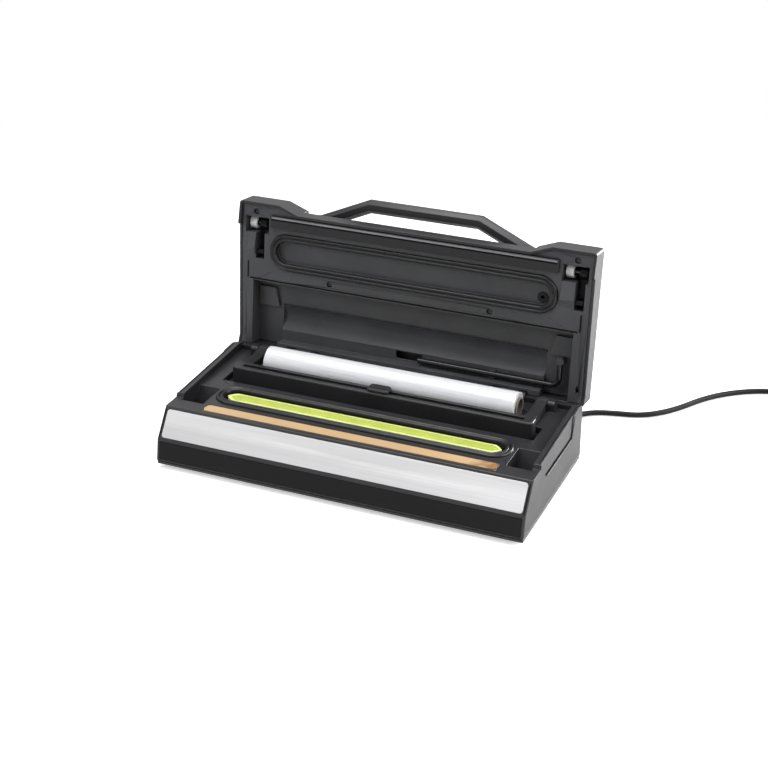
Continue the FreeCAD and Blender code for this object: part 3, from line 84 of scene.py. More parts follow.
# Angle that Blender's wave texture goes through in one unit
WAVE_RADIANS = 20.0
DOWN = (0.0, 0.0, -1.0)
BACK = (0.0, 1.0, 0.0)
WHITE = (1.0, 1.0, 1.0)
Point = tuple[float, float, float]
Colour = tuple[float, float, float]
Socket = bpy.types.NodeSocket
Piece = bpy.types.Object
Mesh = bpy.types.Mesh


class Body(Enum):
    """Moving bodies of the sealer."""

    BASE = "base"
    LID = "lid"
    HANDLE = "handle"
    CUTTER = "cutter"
    SLIDER = "slider"
    ROLL = "roll"


class Axis(Enum):
    """Direction that a pattern runs along."""

    X = 0
    Y = 1
    Z = 2


# Finishes


class NodeBoard:
    """Builds the nodes of one material round a Principled shader."""

    def __init__(self, name: str) -> None:
        """Start an empty material.

        Args:
            name: Name of the material.
        """
        self.material = bpy.data.materials.new(name)
        self.material.use_nodes = True
        self.tree = self.material.node_tree
        self.tree.nodes.clear()
        self.output = self.tree.nodes.new("ShaderNodeOutputMaterial")
        self.shader = self.tree.nodes.new("ShaderNodeBsdfPrincipled")
        self.tree.links.new(self.shader.outputs[0], self.output.inputs["Surface"])
        self.place = self.tree.nodes.new("ShaderNodeTexCoord").outputs["Object"]

    def add(self, kind: str, values: dict | None = None, **settings: object) -> bpy.types.Node:
        """Add a node.

        Args:
            kind: Type name of the node.
            values: Values of its input sockets by name.
            settings: Values of its own properties.

        Returns:
            The new node.
        """
        node = self.tree.nodes.new(kind)
        for key, value in settings.items():
            setattr(node, key, value)
        for key, value in (values or {}).items():
            node.inputs[key].default_value = value
        return node

    def link(self, source: Socket, target: Socket) -> None:
        """Join two sockets."""
        self.tree.links.new(source, target)

    def set(self, **values: object) -> None:
        """Set plain values on the shader's own sockets, with _ for a space in a name."""
        for key, value in values.items():
            self.shader.inputs[key.replace("_", " ")].default_value = value

    def stretched(self, scale: Point = (1.0, 1.0, 1.0), turn: Point = (0.0, 0.0, 0.0)) -> Socket:
        """Scale the object coordinates along each axis and then turn them.

        Args:
            scale: Factor along each axis.
            turn: Turn about each axis in radians.

        Returns:
            The new coordinates.
        """
        node = self.add("ShaderNodeMapping", {"Scale": scale, "Rotation": turn})
        self.link(self.place, node.inputs["Vector"])
        return node.outputs["Vector"]

    def noise(self, pitch: float, detail: float = 2.0, at: Socket | None = None) -> Socket:
        """Add noise whose blobs are about one pitch across.

        Args:
            pitch: Size of a blob in the coordinates' own unit.
            detail: Number of finer octaves.
            at: Coordinates, or None for the object's own.

        Returns:
            The noise value, about 0 to 1.
        """
        node = self.add("ShaderNodeTexNoise", {"Scale": 1.0 / pitch, "Detail": detail})
        self.link(at or self.place, node.inputs["Vector"])
        return node.outputs["Fac"]

    def wave(self, pitch: float, axis: Axis, at: Socket | None = None) -> Socket:
        """Add sine bands that repeat once in a pitch.

        Args:
            pitch: Width of a band in the coordinates' own unit.
            axis: Axis along which the bands follow each other.
            at: Coordinates, or None for the object's own.

        Returns:
            The bands' value, 0 to 1.
        """
        node = self.add("ShaderNodeTexWave", {"Scale": math.tau / WAVE_RADIANS / pitch},
                        wave_type="BANDS", bands_direction=axis.name)
        self.link(at or self.place, node.inputs["Vector"])
        return node.outputs["Fac"]

    def remap(self, value: Socket, low: float, high: float, start: float = 0.3, stop: float = 0.7) -> Socket:
        """Stretch a value so that start to stop becomes low to high.

        Args:
            value: Value that is stretched.
            low: Result where the value is start or less.
            high: Result where the value is stop or more.
            start: Value at one end of the stretch.
            stop: Value at its other end.

        Returns:
            The stretched value.
        """
        node = self.add("ShaderNodeMapRange", {"From Min": start, "From Max": stop,
                                               "To Min": low, "To Max": high})
        self.link(value, node.inputs["Value"])
        return node.outputs["Result"]

    def maths(self, operation: str, first: Socket, second: Socket | float) -> Socket:
        """Work out one sum of two values.

        Args:
            operation: Blender's name for the sum.
            first: First value.
            second: Second value, from a socket or plain.

        Returns:
            The result.
        """
        node = self.add("ShaderNodeMath", operation=operation)
        self.link(first, node.inputs[0])
        if isinstance(second, float):
            node.inputs[1].default_value = second
        else:
            self.link(second, node.inputs[1])
        return node.outputs[0]

    def along(self, axis: Axis) -> Socket:
        """Take one of the object coordinates.

        Args:
            axis: Axis of the coordinate.

        Returns:
            The coordinate in metres.
        """
        node = self.add("ShaderNodeSeparateXYZ")
        self.link(self.place, node.inputs[0])
        return node.outputs[axis.value]

    def ramp(self, value: Socket, stops: Sequence[tuple[float, Colour]]) -> Socket:
        """Let a colour follow a value through colour stops.

        Args:
            value: Value that the colour follows.
            stops: Pairs of a value and the colour there.

        Returns:
            The colour.
        """
        node = self.add("ShaderNodeValToRGB")
        bar = node.color_ramp.elements
        while len(bar) < len(stops):
            bar.new(0.5)
        for element, (spot, colour) in zip(bar, stops):
            element.position = spot
            element.color = (*colour, 1.0)
        self.link(value, node.inputs["Fac"])
        return node.outputs["Color"]

    def colour(self, socket: Socket) -> None:
        """Take the shader's colour from a socket."""
        self.link(socket, self.shader.inputs["Base Color"])

    def roughness(self, socket: Socket) -> None:
        """Take the shader's roughness from a socket."""
        self.link(socket, self.shader.inputs["Roughness"])

    def tint(self, value: Socket, base: Colour, dark: float, light: float,
             start: float = 0.3, stop: float = 0.7) -> None:
        """Let the shader's colour go from a darker to a lighter tone with a value.

        Args:
            value: Value that the colour follows.
            base: Colour that the tones are made from.
            dark: Factor of the colour where the value is start or less.
            light: Factor of the colour where the value is stop or more.
            start: Value of the darker tone.
            stop: Value of the lighter tone.
        """
        self.colour(self.ramp(value, [(start, shade(base, dark)), (stop, shade(base, light))]))

    def gloss(self, value: Socket, rough: float, spread: float) -> None:
        """Let the shader's roughness swing about a middle by a spread each way, with a value."""
        self.roughness(self.remap(value, rough - spread, rough + spread))

    def bump(self, height: Socket, depth: float, strength: float) -> None:
        """Raise the surface by a height of 0 to 1 times a depth, on top of any bump before.

        Args:
            height: Height value.
            depth: Full height in metres.
            strength: Share of the bump that shows.
        """
        node = self.add("ShaderNodeBump", {"Distance": depth, "Strength": strength})
        self.link(height, node.inputs["Height"])
        target = self.shader.inputs["Normal"]
        if target.links:
            self.link(target.links[0].from_socket, node.inputs["Normal"])
        self.link(node.outputs["Normal"], target)


def shade(colour: Colour, factor: float) -> Colour:
    """Return a colour made lighter or darker by a factor."""
    return tuple(min(1.0, part * factor) for part in colour)


@dataclass(frozen=True)
class Finish:
    """A surface finish, named for the record's material slot that it belongs to."""

    slot: str
    base: Colour
    rough: float

    def material(self) -> bpy.types.Material:
        """Build the finish's material on first use.

        Returns:
            The material, the same one at each call.
        """
        name = self.slot + "_finish"
        found = bpy.data.materials.get(name)
        if found is None:
            board = NodeBoard(name)
            self.paint(board)
            found = board.material
        return found

    def paint(self, board: NodeBoard) -> None:
        """Lay the finish's nodes."""
        raise NotImplementedError


@dataclass(frozen=True)
class MouldedPlastic(Finish):
    """Injection moulded plastic with a fine eroded grain and faint flow clouds."""

    grain: float = 0.55 * MM
    depth: float = 0.02 * MM
    cloud: float = 0.18
    cloud_size: float = 45 * MM
    cloud_share: float = 0.6
    spread: float = 0.06
    specular: float = 0.5

    def paint(self, board: NodeBoard) -> None:
        """Lay clouded colour, grain bump and uneven gloss.

        Args:
            board: Board that takes the nodes.
        """
        clouds = board.noise(self.cloud_size, detail=4.0)
        board.tint(clouds, self.base, 1.0 - self.cloud, 1.0 + self.cloud, start=0.25, stop=0.75)
        grain = board.noise(self.grain)
        mixed = board.maths("ADD", board.maths("MULTIPLY", clouds, self.cloud_share),
                            board.maths("MULTIPLY", grain, 1.0 - self.cloud_share))
        board.gloss(mixed, self.rough, self.spread)
        board.bump(grain, self.depth, strength=0.6)
        board.set(Specular_IOR_Level=self.specular)


@dataclass(frozen=True)
class SoftPlastic(Finish):
    """Pale plastic that lets a little light in, such as nylon or a tinted tray."""

    deep: float = 2.0 * MM
    inside: float = 0.35
    cloud_size: float = 18 * MM
    grain: float = 0.8 * MM
    depth: float = 0.015 * MM
    spread: float = 0.05

    def paint(self, board: NodeBoard) -> None:
        """Lay a clouded colour with light under the surface.

        Args:
            board: Board that takes the nodes.
        """
        board.tint(board.noise(self.cloud_size, detail=3.0), self.base, dark=0.94, light=1.05)
        fine = board.noise(self.grain)
        board.gloss(fine, self.rough, self.spread)
        board.bump(fine, self.depth, strength=0.5)
        board.set(Subsurface_Weight=self.inside, Subsurface_Radius=self.base, Subsurface_Scale=self.deep)


@dataclass(frozen=True)
class Rubber(Finish):
    """Soft rubber with a dull skin and a faint bloom."""

    bloom: float = 0.25
    paling: float = 2.0
    sheen: float = 0.3
    specular: float = 0.5
    cloud_size: float = 14 * MM
    grain: float = 0.35 * MM
    depth: float = 0.02 * MM
    spread: float = 0.08

    def paint(self, board: NodeBoard) -> None:
        """Lay a dull mottled skin.

        Args:
            board: Board that takes the nodes.
        """
        clouds = board.noise(self.cloud_size, detail=5.0)
        board.tint(clouds, self.base, dark=1.0, light=1.0 + self.bloom * self.paling, stop=0.75)
        fine = board.noise(self.grain, detail=3.0)
        board.gloss(clouds, self.rough, self.spread)
        board.bump(fine, self.depth, strength=0.5)
        board.set(Sheen_Weight=self.bloom * self.sheen, Sheen_Roughness=0.5, Specular_IOR_Level=self.specular)


@dataclass(frozen=True)
class Metal(Finish):
    """Metal with fine marks that run along one axis."""

    runs: Axis = Axis.X
    spread: float = 0.1
    streak: float = 0.12
    anisotropy: float = 0.0
    across: float = 900.0
    lengthwise: float = 9.0
    depth: float = 0.02 * MM

    def paint(self, board: NodeBoard) -> None:
        """Lay long streaks in colour, gloss and height.

        Args:
            board: Board that takes the nodes.
        """
        scale = [self.across, self.across, self.across]
        scale[self.runs.value] = self.lengthwise
        streaks = board.noise(1.0, detail=3.0, at=board.stretched(tuple(scale)))
        board.tint(streaks, self.base, 1.0 - self.streak, 1.0 + self.streak)
        board.gloss(streaks, self.rough, self.spread)
        board.bump(streaks, self.depth, strength=0.35)
        board.set(Metallic=1.0, Anisotropic=self.anisotropy)


@dataclass(frozen=True)
class EmbossedFilm(Finish):
    """Clear film, wound in many layers to a milky white, with a raised diamond mesh."""

    mesh: float = 1.6 * MM
    slant: float = 0.7
    ridge: float = 0.05 * MM
    bands: Point = (30.0, 500.0, 500.0)
    milk: float = 3 * MM
    smoother: float = 0.06
    rougher: float = 0.08

    def paint(self, board: NodeBoard) -> None:
        """Lay crossing ridges, winding bands and soft milky depth.

        Args:
            board: Board that takes the nodes.
        """
        bands = board.noise(1.0, detail=4.0, at=board.stretched(self.bands))
        board.tint(bands, self.base, dark=0.93, light=1.06, start=0.25, stop=0.75)
        ridges = [board.wave(self.mesh, Axis.X, board.stretched(turn=(0.0, slant, 0.0)))
                  for slant in (self.slant, -self.slant)]
        board.bump(board.maths("MAXIMUM", *ridges), self.ridge, strength=0.5)
        board.roughness(board.remap(bands, self.rough - self.smoother, self.rough + self.rougher))
        board.set(Subsurface_Weight=0.4, Subsurface_Radius=WHITE, Subsurface_Scale=self.milk,
                  Coat_Weight=0.25, Coat_Roughness=0.2)


@dataclass(frozen=True)
class WovenTape(Finish):
    """Glass cloth tape with a non-stick coat, browned where it runs hot at one end."""

    weave: float = 0.9 * MM
    thread: float = 0.06 * MM
    scorched: Colour = (0.27, 0.13, 0.045)
    browning: float = 0.72
    hot_from: float = 0.130
    hot_to: float = 0.150
    sway: float = 0.012
    mottle_size: float = 9 * MM
    spread: float = 0.1

    def paint(self, board: NodeBoard) -> None:
        """Lay a plain weave over a tan coat that browns towards its right end.

        Args:
            board: Board that takes the nodes.
        """
        cloth = board.maths("MULTIPLY", board.wave(self.weave, Axis.X), board.wave(self.weave, Axis.Y))
        mottle = board.noise(self.mottle_size, detail=4.0)
        place = board.maths("ADD", board.along(Axis.X), board.remap(mottle, -self.sway, self.sway))
        heat = board.remap(place, 0.0, 1.0, self.hot_from, self.hot_to)
        browned = shade(self.base, self.browning)
        board.colour(board.ramp(heat, [(0.0, self.base), (0.5, browned), (1.0, self.scorched)]))
        board.gloss(mottle, self.rough, self.spread)
        board.bump(cloth, self.thread, strength=0.6)


@dataclass(frozen=True)
class Card(Finish):
    """Brown card wound into a tube, with a slanting seam."""

    lap: float = 60 * MM
    slant: float = 0.6
    seam: float = 0.2 * MM
    fibres: Point = (300.0, 1400.0, 1400.0)
    fibre: float = 0.04 * MM

    def paint(self, board: NodeBoard) -> None:
        """Lay fibres and the wound seam.

        Args:
            board: Board that takes the nodes.
        """
        fibres = board.noise(1.0, detail=5.0, at=board.stretched(self.fibres))
        board.tint(fibres, self.base, dark=0.78, light=1.12, start=0.25, stop=0.75)
        turns = board.wave(self.lap, Axis.X, board.stretched(turn=(0.0, 0.0, self.slant)))
        board.bump(board.remap(turns, 0.0, 1.0, start=0.94, stop=1.0), self.seam, strength=0.5)
        board.bump(fibres, self.fibre, strength=0.5)
        board.set(Roughness=self.rough)


@dataclass(frozen=True)
class CircuitBoard(Finish):
    """Lacquered board with lighter copper runs under the lacquer."""

    pitch: float = 4.0 * MM
    depth: float = 0.05 * MM

    def paint(self, board: NodeBoard) -> None:
        """Lay right-angled runs of lighter colour.

        Args:
            board: Board that takes the nodes.
        """
        cells = board.add("ShaderNodeTexVoronoi", {"Scale": 1.0 / self.pitch}, distance="CHEBYCHEV")
        board.link(board.place, cells.inputs["Vector"])
        runs = cells.outputs["Distance"]
        board.tint(runs, self.base, dark=1.0, light=1.9, start=0.38, stop=0.42)
        board.bump(runs, self.depth, strength=0.4)
        board.set(Roughness=self.rough, Coat_Weight=0.5)


@dataclass(frozen=True)
class LampLens(Finish):
    """Small tinted lens with a moulded swirl."""

    swirl_size: float = 2 * MM
    depth: float = 0.03 * MM

    def paint(self, board: NodeBoard) -> None:
        """Lay tinted glassy plastic.

        Args:
            board: Board that takes the nodes.
        """
        swirl = board.noise(self.swirl_size)
        board.tint(swirl, self.base, dark=0.85, light=1.1)
        board.bump(swirl, self.depth, strength=0.4)
        board.set(Roughness=self.rough, Transmission_Weight=0.35, IOR=1.49)


SATIN = MouldedPlastic("black_satin", (0.022, 0.022, 0.024), 0.38, specular=0.42)
MATT = MouldedPlastic("black_matt", (0.060, 0.061, 0.065), 0.46, specular=0.3)
GLOSS = MouldedPlastic("black_gloss", (0.006, 0.006, 0.0065), 0.2, grain=2.5 * MM, depth=0.01 * MM,
                       specular=0.16)
# Black rubber of the feet; the same near-black finish paints the thin shadow lines
RUBBER_AND_PAINTED_SHADE = Rubber("black_rubber", (0.004, 0.004, 0.004), 0.7, bloom=0.02, specular=0.1)
SEAL = Rubber("seal_rubber", (0.008, 0.008, 0.009), 0.34, bloom=0.1, specular=0.4)
HOSE = Rubber("hose_rubber", (0.006, 0.006, 0.007), 0.2, bloom=0.05)
CORD = Rubber("cord_rubber", (0.006, 0.006, 0.007), 0.4, bloom=0.05, specular=0.25)
TRIM = Metal("brushed_trim", (0.86, 0.86, 0.87), 0.42, spread=0.05, streak=0.03, anisotropy=0.3)
SCREW = Metal("screw_steel", (0.07, 0.07, 0.075), 0.34, streak=0.2)
ZINC = Metal("zinc_steel", (0.36, 0.36, 0.38), 0.4)
BLADE = Metal("blade_steel", (0.66, 0.67, 0.69), 0.2, runs=Axis.Z)
ALLOY = Metal("heating_alloy", (0.55, 0.53, 0.5), 0.3)
IRON = Metal("transformer_iron", (0.22, 0.18, 0.12), 0.5, runs=Axis.Z, streak=0.3)
NICKEL = Metal("pin_nickel", (0.75, 0.74, 0.71), 0.22, runs=Axis.Y)
LIME = SoftPlastic("lime_plastic", (0.74, 0.80, 0.30), 0.32)
NYLON = SoftPlastic("white_nylon", (0.95, 0.95, 0.93), 0.4, inside=0.1)
PHENOLIC = MouldedPlastic("phenolic", (0.11, 0.085, 0.06), 0.55, grain=1.5 * MM, cloud=0.3)
TAPE = WovenTape("tan_tape", (0.53, 0.36, 0.19), 0.45)
BOARD = CircuitBoard("board_green", (0.04, 0.17, 0.075), 0.35)
FILM = EmbossedFilm("clear_film", (0.70, 0.71, 0.73), 0.3)
# The card's brown, made darker and greyer than plain card as painted shade for the core inside the roll's end
CORE = Card("core_card", (0.20, 0.175, 0.145), 0.75)
# Grey of the buttons; the same finish paints the highlight line along the pressure strip's top edge
BUTTON_AND_PAINTED_HIGHLIGHT = MouldedPlastic("button_grey", (0.20, 0.20, 0.215), 0.4)
LAMP = LampLens("lamp_clear", (0.42, 0.72, 0.5), 0.12)
PLUG = MouldedPlastic("plug_plastic", (0.018, 0.018, 0.019), 0.4)


# Shared mesh work


def link(name: str, mesh: Mesh) -> Piece:
    """Put a mesh in the scene.

    Args:
        name: Name of the piece.
        mesh: Its mesh.

    Returns:
        The piece.
    """
    obj = bpy.data.objects.new(name, mesh)
    bpy.context.scene.collection.objects.link(obj)
    return obj


def smooth(mesh: Mesh, degrees: float = 32.0) -> None:
    """Shade a mesh smooth, apart from edges sharper than an angle."""
    mesh.shade_smooth()
    mesh.set_sharp_from_angle(angle=math.radians(degrees))


def plain_mesh(obj: Piece) -> None:
    """Turn an object and its modifiers into a plain mesh.

    Args:
        obj: Object that takes up its modifiers and keeps none.
    """
    bpy.context.view_layer.update()
    shown = obj.evaluated_get(bpy.context.evaluated_depsgraph_get())
    mesh = bpy.data.meshes.new_from_object(shown)
    obj.modifiers.clear()
    obj.data = mesh


def welded(node: str) -> Mesh:
    """Copy a CAD node's mesh and weld it.

    Args:
        node: Name of the CAD node.

    Returns:
        The new mesh.
    """
    mesh = frame["nodes"][node].data.copy()
    mesh.materials.clear()
    shape = bmesh.new()
    shape.from_mesh(mesh)
    bmesh.ops.remove_doubles(shape, verts=shape.verts, dist=WELD)
    shape.to_mesh(mesh)
    shape.free()
    return mesh


def rounded_copy(node: str, name: str, width: float, segments: int = 2) -> Piece:
    """Copy a CAD node with its sharp edges rounded.

    Args:
        node: Name of the CAD node.
        name: Name of the new piece.
        width: Width of the rounding in metres.
        segments: Number of faces across the rounding.

    Returns:
        The new piece.
    """
    obj = link(name, welded(node))
    bevel = obj.modifiers.new("edges", "BEVEL")
    bevel.width = width
    bevel.segments = segments
    bevel.limit_method = "ANGLE"
    bevel.angle_limit = SHARP_TURN
    bevel.use_clamp_overlap = False
    bevel.miter_outer = "MITER_ARC"
    for _ in range(STRIP + 1):
        obj.data.materials.append(None)
    bevel.material = STRIP
    obj.data.shade_smooth()
    plain_mesh(obj)
    low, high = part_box(node)
    for vert in obj.data.vertices:
        vert.co = [min(max(vert.co[i], low[i]), high[i]) for i in range(3)]
    crisp_normals(obj.data)
    return obj


def crisp_normals(mesh: Mesh) -> None:
    """Shade flat faces flat, curved ones smooth, and blend rounded edges between their neighbours.

    Args:
        mesh: Mesh whose rounded edges have the strips' material number.
    """
    shape = bmesh.new()
    shape.from_mesh(mesh)
    curved: set[int] = set()
    for edge in shape.edges:
        sides = edge.link_faces
        if len(sides) == 2 and not any(face.material_index for face in sides):
            if FLAT_TURN < edge.calc_face_angle(0.0) < SHARP_TURN:
                curved.update(face.index for face in sides)
    normals = [corner_normal(face, loop.vert, curved) for face in shape.faces for loop in face.loops]
    mesh.normals_split_custom_set([tuple(normal) for normal in normals])
    shape.free()


def corner_normal(face: bmesh.types.BMFace, vert: bmesh.types.BMVert, curved: set[int]) -> Vector:
    """Return the shading normal of one corner of a face.

    Args:
        face: The face.
        vert: The corner.
        curved: Numbers of the faces that belong to curved surfaces.

    Returns:
        The normal: a flat face's own, or one shared with the neighbours of a curve or a rounded edge.
    """
    if not face.material_index and face.index not in curved:
        return face.normal.copy()
    leader = face
    if face.material_index:
        sides = [other for other in vert.link_faces if not other.material_index]
        near = [other for other in sides if other.normal.dot(face.normal) > math.cos(WIDE_TURN)]
        if near:
            leader = max(near, key=lambda other: other.normal.dot(face.normal))
            if leader.index not in curved:
                return leader.normal.copy()
    limit = math.cos(WIDE_TURN if leader.material_index else SHARP_TURN)
    total = Vector()
    for other in vert.link_faces:
        if other.material_index == leader.material_index and other.normal.dot(leader.normal) > limit:
            total += other.normal * other.calc_area()
    return total.normalized() if total.length > 0 else face.normal.copy()


def round_corners(mesh: Mesh, radius: float) -> None:
    """Round the upright edges at the corners of a flat strip.

    Args:
        mesh: Mesh of the strip, which lies level.
        radius: Radius of the corners in metres.
    """
    shape = bmesh.new()
    shape.from_mesh(mesh)
    upright = [edge for edge in shape.edges
               if (edge.verts[0].co - edge.verts[1].co).to_2d().length < WELD]
    bmesh.ops.bevel(shape, geom=upright, offset=radius, segments=CORNER_STEPS, profile=0.5,
                    affect="EDGES")
    shape.to_mesh(mesh)
    shape.free()


def painted_light_line(name: str, node: str, start: Point, stop: Point, look: Point, width: float) -> Piece:
    """Lay a thin straight ribbon on the surface of a CAD node, as a painted line of shadow or highlight.

    Args:
        name: Name of the piece.
        node: CAD node that carries the ribbon.
        start: First point, in front of the surface.
        stop: Last point, in front of the surface.
        look: Direction from the points to the surface.
        width: Width of the ribbon in metres.

    Returns:
        The ribbon, sunk into the surface by half its height.
    """
    carrier = frame["nodes"][node].data
    tree = BVHTree.FromPolygons([vert.co for vert in carrier.vertices],
                                [face.vertices for face in carrier.polygons])
    first, last = Vector(start), Vector(stop)
    count = max(2, round((last - first).length / PAINTED_LINE_STEP))
    verts = []
    for i in range(count + 1):
        spot, normal, _, _ = tree.ray_cast(first.lerp(last, i / count), Vector(look))
        side = (last - first).cross(normal).normalized() * width / 2
        rise = normal * PAINTED_LINE_RISE
        verts += [spot - side, spot + rise, spot + side, spot - rise]
    corners = len(verts) // (count + 1)
    faces = ring_faces(count + 1, corners)
    faces += [tuple(range(corners)), tuple(range(count * corners, len(verts)))]
    return link(name, mesh_from(verts, faces, name))


def settle(obj: Piece, body: Body, finish: Finish, *nodes: str) -> Piece:
    """Finish a piece, put it on its body and let it stand for CAD nodes.

    Args:
        obj: The piece.
        body: Body that it rides on.
        finish: Its finish.
        nodes: CAD nodes that it stands for.

    Returns:
        The piece.
    """
    obj.data.materials.clear()
    obj.data.materials.append(finish.material())
    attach(obj, body.value)
    if nodes:
        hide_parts(*nodes)
    LOG.info("%s on %s in %s", obj.name, body.value, finish.slot)
    return obj


def settle_rounded(body: Body, *rows: tuple) -> None:
    """Round the edges of CAD nodes and settle the copies on a body.

    Args:
        body: Body that the pieces ride on.
        rows: Node, name of the piece, width of the rounding, finish and, if not two, the segments.
    """
    for node, name, width, finish, *segments in rows:
        settle(rounded_copy(node, name, width, *segments), body, finish, node)


def dress(node: str, finish: Finish) -> None:
    """Give a CAD node that is shown as it is a finish.

    Args:
        node: Name of the CAD node.
        finish: Its finish.
    """
    mesh = frame["nodes"][node].data
    mesh.materials.clear()
    mesh.materials.append(finish.material())
    LOG.info("%s dressed in %s", node, finish.slot)


def lid_turn() -> Matrix:
    """Work out how the lid swings open.

    Returns:
        The matrix that takes the closed lid to where it rests.
    """
    hinge = next(joint for joint in frame["joints"] if joint["name"] == "lid_hinge")
    pivot = Vector(hinge["pos_m"])
    swing = Matrix.Rotation(-math.radians(hinge["range_deg"][1]), 4, "X")
    return Matrix.Translation(pivot) @ swing @ Matrix.Translation(-pivot)


def span(spots: Sequence[Vector]) -> tuple[Vector, Vector]:
    """Return the lowest and highest corners of the box round some points."""
    low, high = ([pick(spot[i] for spot in spots) for i in range(3)] for pick in (min, max))
    return Vector(low), Vector(high)


def closed_box(node: str) -> tuple[Vector, Vector]:
    """Return the corners of a lid node as they are with the lid closed."""
    back = lid_turn().inverted()
    return span([back @ vert.co for vert in frame["nodes"][node].data.vertices])


def mesh_from(verts: Iterable[Sequence[float]], faces: Iterable[Sequence[int]], name: str) -> Mesh:
    """Make a mesh from points and faces.

    Args:
        verts: The points.
        faces: The faces as point numbers.
        name: Name of the mesh.

    Returns:
        The mesh, with doubles merged and faces turned outwards.
    """
    mesh = bpy.data.meshes.new(name)
    mesh.from_pydata([tuple(v) for v in verts], [], [tuple(f) for f in faces])
    shape = bmesh.new()
    shape.from_mesh(mesh)
    bmesh.ops.remove_doubles(shape, verts=shape.verts, dist=WELD)
    bmesh.ops.recalc_face_normals(shape, faces=shape.faces)
    shape.to_mesh(mesh)
    shape.free()
    return mesh


def ring_faces(rings: int, count: int, closed: bool = False) -> list[tuple[int, ...]]:
    """List the faces between rings of points that follow each other.

    Args:
        rings: Number of rings.
        count: Number of points in each ring.
        closed: True if the last ring joins the first.

    Returns:
        The faces as point numbers.
    """
    faces = []
    for i in range(rings if closed else rings - 1):
        here, there = i * count, (i + 1) % rings * count
        for j in range(count):
            k = (j + 1) % count
            faces.append((here + j, here + k, there + k, there + j))
    return faces


def circle(radius: float, count: int) -> list[tuple[float, float]]:
    """Return points spaced evenly round a circle about zero."""
    turns = [math.tau * k / count for k in range(count)]
    return [(radius * math.cos(turn), radius * math.sin(turn)) for turn in turns]


def stadium_path(reach: float, half: float, middle: Vector) -> list[tuple[Vector, Vector]]:
    """Lay out a long round-ended path.

    Args:
        reach: Half the path's length in metres.
        half: Half its width in metres.
        middle: Its middle.

    Returns:
        Pairs of a point and the outward direction there.
    """
    path = []
    for side in (1, -1):
        for i in range(END_STEPS + 1):
            angle = math.radians(-90 + 180 * i / END_STEPS) + (0 if side > 0 else math.pi)
            out = Vector((math.cos(angle), math.sin(angle), 0))
            path.append((middle + Vector((side * (reach - half), 0, 0)) + out * half, out))
    return path


def lip_seal(name: str, low: Vector, high: Vector, up: int) -> Piece:
    """Make a round-ended rubber seal with two lips and a groove between them.

    Args:
        name: Name of the piece.
        low: Lowest corner of its room.
        high: Highest corner of its room.
        up: 1 if the lips look up, or -1 if they look down.

    Returns:
        The seal, in the place of its room.
    """
    middle = (low + high) / 2
    middle.z = low.z if up > 0 else high.z
    section = [*LIP_HALF, *((1.0 - along, rise) for along, rise in reversed(LIP_HALF))]
    profile = [(along * LIP_WIDTH, up * rise * (high.z - low.z)) for along, rise in section]
    path = stadium_path((high.x - low.x) / 2 - LIP_WIDTH, (high.y - low.y) / 2 - LIP_WIDTH, middle)
    verts = [spot + out * along + Vector((0, 0, rise)) for spot, out in path for along, rise in profile]
    mesh = mesh_from(verts, ring_faces(len(path), len(profile), closed=True), name)
    smooth(mesh, degrees=50)
    return link(name, mesh)


def stand(obj: Piece, place: Point, aim: Point) -> None:
    """Stand a camera or a lamp in the scene.

    Args:
        obj: The camera or the lamp.
        place: Where it stands.
        aim: Point that it faces.
    """
    obj.location = place
    obj.rotation_euler = (Vector(aim) - Vector(place)).to_track_quat("-Z", "Y").to_euler()
    bpy.context.scene.collection.objects.link(obj)


# Repeats laid by Geometry Nodes


